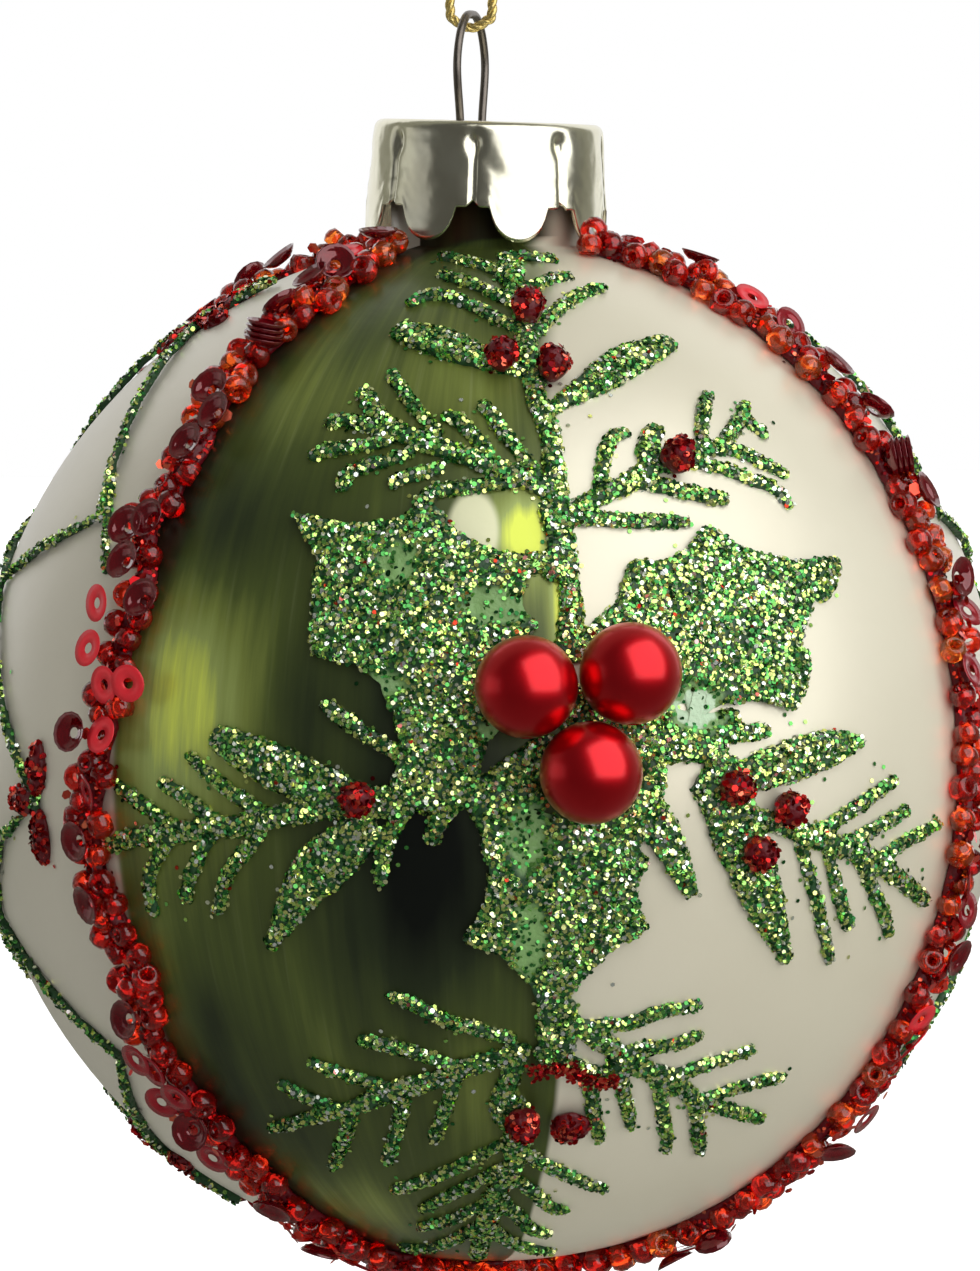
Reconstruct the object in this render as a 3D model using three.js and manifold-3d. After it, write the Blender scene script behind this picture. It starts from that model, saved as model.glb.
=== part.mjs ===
// A hanging glass Christmas bauble: a hollow glass ball with a silver crown cap, a bent wire hanger
// and a loop of gold cord. Four lines of red beads run down the ball. Holly leaves, fir sprigs and
// berries are raised on the front and the back in glitter glue, and a trellis is raised on each side.
// Millimetres, +Z up. The front faces -Y, and the origin is the point that the cord loop hangs from.
import * as THREE from 'three';
import { mergeVertices } from 'three/addons/utils/BufferGeometryUtils.js';
import { TessellateModifier } from 'three/addons/modifiers/TessellateModifier.js';
import Module from 'manifold-3d';

// The glass ball and its neck
const BALL_RADIUS = 40;
const GLASS_WALL = 0.9;
const NECK_RADIUS = 7.6;
const NECK_WALL = 1;
const BALL_SEGMENTS = 40;
const BALL_RINGS = 18;
const BALL_INNER_RINGS = 8;

// What rests on, seats in or runs through another piece keeps this much clear of it
const FIT_GAP = 0.3;

// The crown cap: a thin pressed cup round the neck whose skirt has lobes, each ending in a round tongue
const CAP_HEIGHT = 9.2;
const CAP_EASE_ON_NECK = 0.43;
const CAP_FLARE = 0.4;
const CAP_SHEET = 0.4;
const CAP_LOBES = 8;
const CAP_GROOVE_DEPTH = 0.42;
const CAP_EDGE_ROUND = 0.8;
const CAP_ABOVE_GLASS = 0.45;
const CAP_TURN = -16;
const CAP_TILT = 1.8;
const TONGUE_LENGTH = 2.6;
const TONGUE_SPACE = 2.86;
const GROOVE_WIDTH = 1;

// The hanger: one spring wire, bent to an eye above the cap, with two legs that spread in the neck
const WIRE_DIAMETER = 0.65;
const WIRE_SIDES = 6;
const EYE_HEIGHT = 8.6;
const EYE_WIDTH = 8;
const LEG_SPACING = 6.4;
const LEG_DEPTH = 20;
const HANGER_TURN = -25;
const HANGER_OFFSET = 1.4;

// The gold cord: a loop through the eye, closed by a knot with two short tails
const CORD_DIAMETER = 0.8;
const CORD_SIDES = 8;
const CORD_DROP = 26;
const CORD_BEND_RADIUS = 1.7;
const STRAND_GAP = 0.4;
const KNOT_WIDTH = 2.8;
const KNOT_HEIGHT = 3;
const TAIL_LENGTH = 4.5;
const TAIL_SPREAD = 18;

// The bead lines at the medallions' edges, which lie this many degrees either side of the middle
const MEDALLION_HALF_ANGLE = 54;
const BEAD_LINE_WIDTH = 5;
const BEAD_LINE_HEIGHT = 2.5;
const BEAD_PITCH = 3.6;
const BEAD_NECKING = 0.78;
const BEAD_LINE_TOP_CLEARANCE = 0.4;
const BEAD_LINE_BOTTOM_RADIUS = 6.4;

// The raised glitter drawing
const RELIEF_HEIGHT = 0.8;
const STEM_WIDTH = 1.8;
const NEEDLE_WIDTH = 1.6;
const NEEDLE_TIP_WIDTH = 1.3;
const LEAF_WIDTH = 4.6;
const HUB_WIDTH = 4.4;
const TRELLIS_WIDTH = 1;
const PETAL_LENGTH = 4.4;
const PETAL_WIDTH = 2.1;
const HOLLY_HOLLOW = 0.16;

// The pearls and the glitter drops that stand for berries
const PEARL_DIAMETER = 7.5;
const BERRY_DIAMETER = 2.7;
const BERRY_HEIGHT = 1.5;

// Sizes that follow from the ones above
const WIRE_RADIUS = WIRE_DIAMETER / 2;
const CORD_RADIUS = CORD_DIAMETER / 2;
const STRAND_SPACING = CORD_DIAMETER + STRAND_GAP;
const NECK_BORE = NECK_RADIUS - NECK_WALL;
const CAP_TOP_RADIUS = NECK_RADIUS + CAP_EASE_ON_NECK + CAP_GROOVE_DEPTH + CAP_SHEET;
const CAP_SKIRT_RADIUS = CAP_TOP_RADIUS + CAP_FLARE;
const SKIRT_EDGE_ON_BALL = Math.sqrt(BALL_RADIUS ** 2 - CAP_SKIRT_RADIUS ** 2);
const CAP_TOP = SKIRT_EDGE_ON_BALL + CAP_ABOVE_GLASS + CAP_HEIGHT;
const NECK_TOP = CAP_TOP - CAP_SHEET - FIT_GAP;
const EYE_TOP = CAP_TOP + EYE_HEIGHT;
const CORD_LINE_AT_EYE = EYE_TOP - WIRE_DIAMETER - FIT_GAP - CORD_RADIUS;
const BALL_DROP = CORD_DROP + CORD_LINE_AT_EYE;
const RELIEF_BASE = BALL_RADIUS + FIT_GAP;
const RELIEF_TOP = RELIEF_BASE + RELIEF_HEIGHT;

// A flat facet this long on the glitter's underside sags by three quarters of the fit gap
const LONGEST_FACET = Math.sqrt(6 * BALL_RADIUS * FIT_GAP);

// A bar along a curve has a step this many of its diameters
const BAR_STEP = 2.2;

// Places on the ball are longitude and latitude in degrees, with longitude 0 at the middle of the front
const PEARL_CLUSTER = [-0.5, 7.8];
const PEARL_TURNS = { left: 156.5, right: 36.5, bottom: -83.5 };
const BERRIES_ON_LEAVES = {
  top: [-2, 57.5],
  top_left: [-7.5, 49.5],
  top_right: [0.5, 48],
  upper_right: [15, 35.5],
  left: [-23, -1],
  right_inner: [16.5, 0],
  right_outer: [23, -2.5],
  right_lower: [19.5, -7],
  bottom_left: [-5, -38],
};
const BERRIES_ON_GLASS = {
  bottom_right: [1.5, -39.5],
};
const HOLLY = {
  left: {
    spines: [[-34, 29.5], [-27.5, 13.5], [-20, 8], [-11, 7], [-4, 17], [-3.5, 24.5], [-16.5, 31]],
    arms: [],
  },
  right: {
    spines: [[4.5, 18.5], [9, 12], [12, 6.5], [25, 7.5], [35, 23.5], [17, 28], [7, 24]],
    arms: [],
  },
  bottom: {
    spines: [[8.5, -1], [-5, -2], [-10.5, -5], [-12.5, -16], [-2.5, -26.5], [8, -15], [7.5, -7.5]],
    arms: [[[7, -3], [12, -10.5]]],
  },
};
const FIRS = {
  upper_left: {
    axis: [[-2.8, 32], [-12, 35], [-29, 39.5]],
    above: [[-11, 43.5], [-17, 42], [-24.5, 48], [-29.5, 46], [-31, 42.5]],
    below: [[-18.5, 29.5], [-22, 33], [-27, 33.5], [-32.5, 35.5]],
  },
  upper_right: {
    axis: [[0.8, 29.5], [10, 34.5], [28, 38]],
    above: [[8, 40], [14.5, 41], [25, 45], [31, 43.5]],
    below: [[15, 28.8], [21, 30.5], [29.5, 29.5], [33, 34]],
  },
  bottom_left: {
    axis: [[-4.5, -28.5], [-14, -31.5], [-33, -38]],
    above: [[-20, -22.5], [-25, -27], [-32, -31], [-37, -33.5]],
    below: [[-17, -42], [-25, -45], [-34, -46.5], [-40, -41]],
  },
  bottom_right: {
    axis: [[1, -28], [10, -31], [23, -37]],
    above: [[15.5, -24], [17, -27.5], [25, -30], [31.5, -34]],
    below: [[8.5, -41], [12, -42], [19, -44.5], [24.5, -45], [32, -40.5]],
  },
  bottom: {
    axis: [[-2, -28.5], [-4, -40], [-6, -51], [-11, -67]],
    above: [[-25, -50.5], [-22, -54.5], [-24, -59.5], [-31, -66]],
    below: [[10, -51.5], [5, -56], [4.5, -62], [9, -68.5]],
  },
};
const SPRIGS = {
  left: {
    hub: [[-9, 3], [-23, -1.5]],
    leaves: [[[-24, 0.5], [-39, 5]], [[-22.5, -4], [-33, -16]]],
    arms: [[[-18, 3], [-27.5, 8.5]], [[-18, -2], [-21, -10]]],
    axis: [[-19, -2], [-48.5, -7]],
    above: [[-42.5, 3], [-46, 0.5], [-48.5, -2]],
    below: [[-40, -13], [-44.5, -12.5], [-48, -12.5]],
  },
  right: {
    hub: [[8.5, 3.5], [20, -2.5]],
    leaves: [[[18, 0.5], [33, 4.5]], [[17, -3], [25.5, -18.5]]],
    arms: [[[16, 1.5], [21, 6]]],
    axis: [[17, -2], [40, -8.5]],
    above: [[38.5, -0.5], [41, -3.5], [46.5, -6]],
    below: [[32, -19], [34.5, -16.5], [41, -17], [46.5, -13.5]],
  },
};
const SPRAY = {
  stem: [[-2, 66], [-2, 48], [-1, 34], [-2, 17]],
  arms: [
    [[-2, 61], [-26, 70]],
    [[-2, 64], [-20, 73.5]],
    [[-2, 65], [-2, 74]],
    [[-2, 61], [14, 71]],
    [[-2, 58.5], [13, 65]],
    [[-2, 55], [-26, 60]],
    [[-2, 53.5], [17.5, 62.5]],
  ],
  leaves: [[[-3, 49.5], [-25.5, 53.5]], [[0, 42], [21.5, 51.5]]],
};

// A trellis line, as degrees from the middle of the side panel and latitude; the other one mirrors it
const TRELLIS_LINE = [
  [-9, 65], [0, 57], [11, 48.5], [21, 35.5], [25, 28], [12, 23.5], [0, 19], [12.5, 6.5], [22.5, -3.5],
  [11.5, -8.5], [0, -18], [11, -24.5], [24.5, -33], [16.5, -41], [0, -52], [-9, -60],
];
const TRELLIS_FLOWERS = [[0, 57], [0, -52]];
const TRELLIS_HALF_FLOWERS = [[22.5, -3.5], [-22.5, -3.5]];

const wasm = await Module();
wasm.setup();

// Materials
function finish(color, roughness, metalness) {
  return new THREE.MeshStandardMaterial({ color, roughness, metalness });
}
const GLASS = finish('#d8d3c4', 0.32, 0.1);
const CAP_METAL = finish('#c9c4ae', 0.16, 1);
const WIRE_METAL = finish('#6b625a', 0.35, 1);
const GOLD_CORD = finish('#c79a3a', 0.4, 0.7);
const RED_BEADS = finish('#a3121c', 0.15, 0.1);
const GREEN_GLITTER = finish('#2f6b34', 0.45, 0.6);
const RED_GLITTER = finish('#9c1420', 0.45, 0.6);
const RED_PEARL = finish('#9e0e1c', 0.25, 0.4);

function node(name, geometry, material) {
  const mesh = new THREE.Mesh(geometry, material);
  mesh.name = name;
  return mesh;
}

// Solids from geometry, and geometry from solids
function solid(geometry) {
  const plain = geometry.clone();
  plain.deleteAttribute('normal');
  plain.deleteAttribute('uv');
  const merged = mergeVertices(plain, 1e-5);
  const vertProperties = new Float32Array(merged.attributes.position.array);
  const triVerts = new Uint32Array(merged.index.array);
  return new wasm.Manifold(new wasm.Mesh({ numProp: 3, vertProperties, triVerts }));
}

function geometryOf(manifold) {
  const mesh = manifold.getMesh();
  const geometry = new THREE.BufferGeometry();
  geometry.setAttribute('position', new THREE.BufferAttribute(mesh.vertProperties, 3));
  geometry.setIndex(new THREE.BufferAttribute(mesh.triVerts, 1));
  return geometry;
}

function meshOf(vertices, triangles) {
  const geometry = new THREE.BufferGeometry();
  geometry.setAttribute('position', new THREE.Float32BufferAttribute(vertices.flat(), 3));
  geometry.setIndex(triangles.flat());
  return geometry;
}

function union(solids) {
  return solids.reduce((whole, one) => whole.add(one));
}

// A piece that its neighbours cut keeps its main body
function mainBody(manifold) {
  const bodies = manifold.decompose();
  return bodies.reduce((best, body) => (body.volume() > best.volume() ? body : best));
}

// Directions on the ball
function radians(degrees) {
  return THREE.MathUtils.degToRad(degrees);
}

function onBall([longitude, latitude], radius = BALL_RADIUS) {
  const lon = radians(longitude);
  const lat = radians(latitude);
  const ring = radius * Math.cos(lat);
  return new THREE.Vector3(ring * Math.sin(lon), -ring * Math.cos(lon), radius * Math.sin(lat));
}

// The glitter is drawn flat, in millimetres along the glass, and then bent over the ball
function flat([longitude, latitude]) {
  const lat = radians(latitude);
  return new THREE.Vector2(BALL_RADIUS * radians(longitude) * Math.cos(lat), BALL_RADIUS * lat);
}

function bentOverBall(geometry) {
  const fine = new TessellateModifier(LONGEST_FACET, 8).modify(geometry);
  const position = fine.attributes.position;
  for (let i = 0; i < position.count; i += 1) {
    const lat = position.getY(i) / BALL_RADIUS;
    const lon = position.getX(i) / (BALL_RADIUS * Math.cos(lat));
    const place = [THREE.MathUtils.radToDeg(lon), THREE.MathUtils.radToDeg(lat)];
    const point = onBall(place, RELIEF_BASE + position.getZ(i));
    position.setXYZ(i, point.x, point.y, point.z);
  }
  return mergeVertices(fine, 1e-4);
}

// A box of flat drawing, from west to east and south to north
function panel(west, east, south, north) {
  const corners = [[west, south], [east, south], [east, north], [west, north]];
  return corners.map(([x, y]) => new THREE.Vector2(x, y));
}

function slab(outline) {
  const shape = new THREE.Shape(outline);
  return solid(new THREE.ExtrudeGeometry(shape, { depth: RELIEF_HEIGHT, bevelEnabled: false }));
}

// The same outline, moved outward by a width
function grown(outline, width) {
  const ordered = THREE.ShapeUtils.isClockWise(outline) ? [...outline].reverse() : outline;
  const count = ordered.length;
  const outward = ordered.map((point, i) => {
    const edge = ordered[(i + 1) % count].clone().sub(point).normalize();
    return new THREE.Vector2(edge.y, -edge.x);
  });
  return ordered.map((point, i) => {
    const before = outward[(i + count - 1) % count];
    const corner = before.clone().add(outward[i]).normalize();
    const stretch = width / Math.max(0.45, corner.dot(outward[i]));
    return point.clone().addScaledVector(corner, stretch);
  });
}

// Outlines: a tapered stroke, a ribbon along a line, a plain leaf, a holly leaf and a round
function sideways(from, to) {
  const along = to.clone().sub(from).normalize();
  return new THREE.Vector2(-along.y, along.x);
}

function stroke(from, to, startWidth, endWidth) {
  const side = sideways(from, to);
  const at = (point, across) => point.clone().addScaledVector(side, across);
  return [
    at(from, -startWidth / 2),
    at(to, -endWidth / 2),
    at(to, endWidth / 2),
    at(from, startWidth / 2),
  ];
}

function ribbon(points, width) {
  const last = points.length - 1;
  const sides = points.map((_, i) => sideways(points[Math.max(0, i - 1)], points[Math.min(last, i + 1)]));
  const edge = (sign) => points.map((p, i) => p.clone().addScaledVector(sides[i], (sign * width) / 2));
  return [...edge(1), ...edge(-1).reverse()];
}

function leaf(from, to, width, steps) {
  const side = sideways(from, to);
  const edge = (sign) =>
    Array.from({ length: steps - 1 }, (_, i) => {
      const share = (i + 1) / steps;
      const half = (width / 2) * Math.sin(Math.PI * share) ** 0.7;
      return from.clone().lerp(to, share).addScaledVector(side, sign * half);
    });
  return [from, ...edge(1), to, ...edge(-1).reverse()];
}

function hollyLeaf(spines) {
  const tips = spines.map(flat);
  const middle = tips.reduce((sum, tip) => sum.add(tip), new THREE.Vector2()).divideScalar(tips.length);
  return tips.flatMap((tip, i) => {
    const next = tips[(i + 1) % tips.length];
    const hollow = (share) => tip.clone().lerp(next, share).lerp(middle, HOLLY_HOLLOW);
    return [tip, hollow(0.3), hollow(0.7)];
  });
}

function round(place, radius, sides = 10) {
  const middle = flat(place);
  return Array.from({ length: sides }, (_, i) => {
    const angle = (i / sides) * 2 * Math.PI;
    return new THREE.Vector2(Math.cos(angle), Math.sin(angle)).multiplyScalar(radius).add(middle);
  });
}

// A fir sprig: an axis with needles from evenly spaced places on it to the listed tips
function firOutlines({ axis, above, below }) {
  const stations = 12;
  const line = new THREE.SplineCurve(axis.map(flat)).getSpacedPoints(stations);
  const needles = (tips) =>
    tips.map((tip, i) => {
      const root = line[Math.round(((i + 0.45) / tips.length) * (stations - 1))];
      return stroke(root, flat(tip), NEEDLE_WIDTH, NEEDLE_TIP_WIDTH);
    });
  return [ribbon(line.filter((_, i) => i % 4 === 0), STEM_WIDTH), ...needles(above), ...needles(below)];
}

function arm([from, to]) {
  return stroke(flat(from), flat(to), STEM_WIDTH, NEEDLE_TIP_WIDTH);
}

function plainLeaf([from, to]) {
  return leaf(flat(from), flat(to), LEAF_WIDTH, 5);
}

function sprigOutlines(sprig) {
  const [from, to] = sprig.hub.map(flat);
  const hub = stroke(from, to, HUB_WIDTH, HUB_WIDTH);
  return [hub, ...firOutlines(sprig), ...sprig.leaves.map(plainLeaf), ...sprig.arms.map(arm)];
}

function sprayOutlines() {
  const stem = new THREE.SplineCurve(SPRAY.stem.map(flat)).getSpacedPoints(6);
  return [ribbon(stem, STEM_WIDTH), ...SPRAY.arms.map(arm), ...SPRAY.leaves.map(plainLeaf)];
}

function petal(place, east, north) {
  const root = flat(place);
  const tip = root.clone().add(new THREE.Vector2(east, north).multiplyScalar(PETAL_LENGTH));
  return leaf(root, tip, PETAL_WIDTH, 3);
}

function trellisOutlines() {
  const lines = [1, -1].map((sign) =>
    ribbon(TRELLIS_LINE.map(([east, latitude]) => flat([sign * east, latitude])), TRELLIS_WIDTH));
  const flowers = TRELLIS_FLOWERS.flatMap((place) =>
    [[1, 0], [-1, 0], [0, 1], [0, -1]].map(([east, north]) => petal(place, east, north)));
  const halfFlowers = TRELLIS_HALF_FLOWERS.flatMap((place) =>
    [[-Math.sign(place[0]), 0], [0, 1], [0, -1]].map(([east, north]) => petal(place, east, north)));
  return [...lines, ...flowers, ...halfFlowers];
}

// The glass: one wall from the bottom of the ball up to the open rim of the neck and back inside
function arc(radius, fromAngle, toAngle, steps) {
  return Array.from({ length: steps + 1 }, (_, i) => {
    const angle = fromAngle + ((toAngle - fromAngle) * i) / steps;
    return new THREE.Vector2(radius * Math.sin(angle), -radius * Math.cos(angle));
  });
}

function glassBall() {
  const innerRadius = BALL_RADIUS - GLASS_WALL;
  const outerEnd = Math.PI - Math.asin(NECK_RADIUS / BALL_RADIUS);
  const innerEnd = Math.PI - Math.asin(NECK_BORE / innerRadius);
  const profile = [
    ...arc(BALL_RADIUS, 0, outerEnd, BALL_RINGS),
    new THREE.Vector2(NECK_RADIUS, NECK_TOP),
    new THREE.Vector2(NECK_BORE, NECK_TOP),
    ...arc(innerRadius, innerEnd, 0, BALL_INNER_RINGS),
  ];
  profile[0].x = 0;
  profile[profile.length - 1].x = 0;
  return new THREE.LatheGeometry(profile, BALL_SEGMENTS).rotateX(Math.PI / 2);
}

// The cap: columns around the skirt, each a profile from the middle of the top, down and back inside
function lobeColumns() {
  const half = 180 / CAP_LOBES;
  const angleOf = (length) => THREE.MathUtils.radToDeg(length / CAP_SKIRT_RADIUS);
  const shoulder = half - angleOf(GROOVE_WIDTH / 2);
  const tongue = half - angleOf(TONGUE_SPACE / 2);
  const aroundTongue = [-1, -0.82, -0.45, 0, 0.45, 0.82, 1].map((share) => share * tongue);
  return [-half, -shoulder, ...aroundTongue, shoulder].map((angle) => {
    const share = Math.min(1, Math.abs(angle) / tongue);
    const drop = CAP_HEIGHT - TONGUE_LENGTH * (1 - Math.sqrt(1 - share ** 2));
    const inGroove = Math.abs(angle) === half ? 1 : 0;
    return { angle, drop: drop - (GROOVE_WIDTH / 2) * inGroove, dent: CAP_GROOVE_DEPTH * inGroove };
  });
}

function capProfile({ drop, dent }) {
  const topEdge = CAP_TOP_RADIUS - CAP_EDGE_ROUND;
  const bevel = CAP_EDGE_ROUND * 0.3;
  const outer = [
    [topEdge, 0],
    [CAP_TOP_RADIUS - bevel - dent * 0.5, -bevel],
    [CAP_TOP_RADIUS - dent, -CAP_EDGE_ROUND],
    [CAP_SKIRT_RADIUS - dent, -drop],
  ];
  const inner = [
    [CAP_SKIRT_RADIUS - dent - CAP_SHEET, -drop],
    [CAP_TOP_RADIUS - dent - CAP_SHEET, -CAP_EDGE_ROUND - CAP_SHEET / 2],
    [topEdge - CAP_SHEET, -CAP_SHEET],
  ];
  return [...outer, ...inner];
}

function capBody() {
  const columns = Array.from({ length: CAP_LOBES }, (_, lobe) =>
    lobeColumns().map((column) => ({ ...column, angle: column.angle + (lobe * 360) / CAP_LOBES }))).flat();
  const rows = capProfile(columns[0]).length;
  const vertices = columns.flatMap((column) => {
    const turn = radians(column.angle + 180 / CAP_LOBES + CAP_TURN);
    return capProfile(column).map(([r, z]) => [r * Math.sin(turn), -r * Math.cos(turn), z]);
  });
  const top = vertices.push([0, 0, 0]) - 1;
  const underside = vertices.push([0, 0, -CAP_SHEET]) - 1;
  const triangles = columns.flatMap((_, i) => {
    const here = i * rows;
    const next = ((i + 1) % columns.length) * rows;
    const wall = Array.from({ length: rows - 1 }, (_, row) => [
      [here + row, here + row + 1, next + row + 1],
      [here + row, next + row + 1, next + row],
    ]).flat();
    return [[top, here, next], ...wall, [underside, next + rows - 1, here + rows - 1]];
  });
  return solid(meshOf(vertices, triangles));
}

function legDirection() {
  const turn = radians(HANGER_TURN);
  return new THREE.Vector3(Math.sin(turn), -Math.cos(turn), 0);
}

function legHole(side) {
  const hole = new THREE.CylinderGeometry(WIRE_RADIUS + FIT_GAP, WIRE_RADIUS + FIT_GAP, CAP_SHEET * 6, 10);
  const at = legDirection().multiplyScalar((side * LEG_SPACING) / 2);
  return solid(hole.rotateX(Math.PI / 2).translate(at.x - HANGER_OFFSET, at.y, 0));
}

function crownCap() {
  const seated = capBody().subtract(legHole(1)).subtract(legHole(-1));
  return geometryOf(seated).rotateY(radians(CAP_TILT)).translate(0, 0, CAP_TOP);
}

// Round bar along a curve through points
function bar(points, radius, sides) {
  const extrudePath = new THREE.CatmullRomCurve3(points, false, 'centripetal');
  const steps = Math.ceil(extrudePath.getLength() / (BAR_STEP * 2 * radius));
  const section = Array.from({ length: sides }, (_, i) => {
    const angle = (i / sides) * 2 * Math.PI;
    return new THREE.Vector2(radius * Math.cos(angle), radius * Math.sin(angle));
  });
  return new THREE.ExtrudeGeometry(new THREE.Shape(section), { steps, extrudePath, bevelEnabled: false });
}

// The hanger's centre line, as distance from the middle and height above the cap
function hangerSide() {
  const grip = NECK_BORE - FIT_GAP - WIRE_RADIUS - HANGER_OFFSET;
  const crown = EYE_HEIGHT - WIRE_RADIUS;
  const hole = LEG_SPACING / 2;
  return [
    [grip, -LEG_DEPTH],
    [grip, -LEG_DEPTH / 2],
    [hole, -CAP_SHEET * 3],
    [hole, CAP_SHEET],
    [EYE_WIDTH / 2, crown * 0.5],
    [EYE_WIDTH * 0.4, crown * 0.8],
    [EYE_WIDTH * 0.2, crown * 0.97],
  ];
}

function hangerWire() {
  const side = hangerSide();
  const line = [
    ...side,
    [0, EYE_HEIGHT - WIRE_RADIUS],
    ...[...side].reverse().map(([out, up]) => [-out, up]),
  ];
  const direction = legDirection();
  const points = line.map(([out, up]) =>
    direction.clone().multiplyScalar(out).add(new THREE.Vector3(-HANGER_OFFSET, 0, CAP_TOP + up)));
  return bar(points, WIRE_RADIUS, WIRE_SIDES);
}

// The cord runs from the knot down through the eye and back, across the plane of the eye
function cordRoute() {
  const across = legDirection().cross(new THREE.Vector3(0, 0, 1)).negate();
  const bend = CORD_BEND_RADIUS;
  const strand = STRAND_SPACING / 2;
  const side = [
    [strand, -FIT_GAP],
    [strand * 1.3, -CORD_DROP * 0.2],
    [bend * 0.85, -CORD_DROP * 0.65],
    [bend, -CORD_DROP + bend],
    [bend * 0.7, -CORD_DROP + bend * 0.3],
  ];
  const line = [...side, [0, -CORD_DROP], ...[...side].reverse().map(([out, up]) => [-out, up])];
  return line.map(([out, up]) => across.clone().multiplyScalar(out).setZ(up));
}

function hangingCord() {
  return bar(cordRoute(), CORD_RADIUS, CORD_SIDES);
}

function cordKnot() {
  const lump = new THREE.IcosahedronGeometry(1, 1).scale(KNOT_WIDTH / 2, KNOT_WIDTH / 2, KNOT_HEIGHT / 2);
  lump.translate(0, 0, KNOT_HEIGHT / 2);
  const tail = (sign) => {
    const cut = new THREE.CylinderGeometry(CORD_RADIUS, CORD_RADIUS, TAIL_LENGTH, CORD_SIDES);
    cut.translate(0, TAIL_LENGTH / 2, 0).rotateX(Math.PI / 2).rotateY(sign * radians(TAIL_SPREAD));
    return solid(cut.translate(sign * CORD_RADIUS, 0, KNOT_HEIGHT * 0.7));
  };
  return geometryOf(solid(lump).add(tail(1)).add(tail(-1)));
}

// A line of clustered beads down the ball, wide at each bead and narrower between them
function beadRing(colatitude, swell) {
  const half = (BEAD_LINE_WIDTH / 2) * swell;
  const height = BEAD_LINE_HEIGHT * swell;
  const section = [[-half, 0], [-half, height * 0.55], [-half * 0.5, height], [half * 0.5, height],
    [half, height * 0.55], [half, 0]];
  const out = new THREE.Vector3(0, -Math.sin(colatitude), Math.cos(colatitude));
  return section.map(([across, up]) => {
    const point = out.clone().multiplyScalar(RELIEF_BASE + up);
    return [across, point.y, point.z];
  });
}

function beadLine(longitude) {
  const capEdge = CAP_SKIRT_RADIUS + FIT_GAP + BEAD_LINE_TOP_CLEARANCE;
  const start = Math.asin(capEdge / RELIEF_BASE);
  const end = Math.PI - Math.asin(BEAD_LINE_BOTTOM_RADIUS / RELIEF_BASE);
  const count = 2 * Math.round(((end - start) * BALL_RADIUS) / BEAD_PITCH);
  const rings = Array.from({ length: count + 1 }, (_, i) =>
    beadRing(start + ((end - start) * i) / count, i % 2 ? 1 : BEAD_NECKING));
  const sides = rings[0].length;
  const wall = rings.slice(1).flatMap((_, i) =>
    rings[0].flatMap((_, side) => {
      const here = i * sides;
      const next = (side + 1) % sides;
      return [
        [here + side, here + sides + side, here + sides + next],
        [here + side, here + sides + next, here + next],
      ];
    }));
  const last = count * sides;
  const fan = Array.from({ length: sides - 2 }, (_, i) => i + 1);
  const ends = fan.flatMap((i) => [[0, i, i + 1], [last, last + i + 1, last + i]]);
  return meshOf(rings.flat(), [...wall, ...ends]).rotateZ(radians(longitude));
}

// The beads where the four lines meet under the ball
function beadCluster() {
  const edge = BEAD_LINE_BOTTOM_RADIUS - FIT_GAP * 2;
  const inside = (radius) => -Math.sqrt(RELIEF_BASE ** 2 - radius ** 2);
  const profile = [
    [0, inside(0) - BEAD_LINE_HEIGHT],
    [edge * 0.6, inside(edge * 0.6) - BEAD_LINE_HEIGHT * 0.95],
    [edge, inside(edge) - BEAD_LINE_HEIGHT * 0.5],
    [edge, inside(edge)],
    [edge * 0.5, inside(edge * 0.5)],
    [0, inside(0)],
  ].map(([radius, height]) => new THREE.Vector2(radius, height));
  return new THREE.LatheGeometry(profile, 16).rotateX(Math.PI / 2);
}

// Pearls and berries, each set on what carries it
function pearlPlace(turn) {
  const away = (PEARL_DIAMETER + FIT_GAP) / Math.sqrt(3);
  const reach = THREE.MathUtils.radToDeg(away / (RELIEF_BASE + PEARL_DIAMETER / 2));
  const [longitude, latitude] = PEARL_CLUSTER;
  const east = (reach * Math.cos(radians(turn))) / Math.cos(radians(latitude));
  return [longitude + east, latitude + reach * Math.sin(radians(turn))];
}

function pearl(turn) {
  const radius = PEARL_DIAMETER / 2;
  const at = onBall(pearlPlace(turn), RELIEF_BASE + radius);
  return new THREE.IcosahedronGeometry(radius, 2).translate(at.x, at.y, at.z);
}

function berry(place, base) {
  const drop = new THREE.SphereGeometry(BERRY_DIAMETER / 2, 7, 4).rotateX(Math.PI / 2);
  drop.scale(1, 1, BERRY_HEIGHT / BERRY_DIAMETER);
  const at = onBall(place, base + BERRY_HEIGHT / 2);
  const up = new THREE.Vector3(0, 0, 1);
  const tipped = new THREE.Quaternion().setFromUnitVectors(up, at.clone().normalize());
  return drop.applyQuaternion(tipped).translate(at.x, at.y, at.z);
}

// The raised drawings of one medallion. Each is cut back from those before it and from what it meets.
function reliefDrawings() {
  const drawings = { spray_top: sprayOutlines() };
  for (const [name, { spines, arms }] of Object.entries(HOLLY)) {
    drawings[`holly_${name}`] = [hollyLeaf(spines), ...arms.map(arm)];
  }
  for (const [name, sprig] of Object.entries(SPRIGS)) drawings[`sprig_${name}`] = sprigOutlines(sprig);
  for (const [name, fir] of Object.entries(FIRS)) drawings[`fir_${name}`] = firOutlines(fir);
  return drawings;
}

// A pearl's foot is as wide as the pearl is at the height of the glitter around it
function setPieceFootprints() {
  const radius = PEARL_DIAMETER / 2;
  const foot = Math.sqrt(radius ** 2 - (radius - RELIEF_HEIGHT) ** 2) + FIT_GAP;
  const pearls = Object.values(PEARL_TURNS).map((turn) => round(pearlPlace(turn), foot));
  const drops = Object.values(BERRIES_ON_GLASS).map((place) => round(place, BERRY_DIAMETER / 2 + FIT_GAP));
  return [...pearls, ...drops];
}

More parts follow.
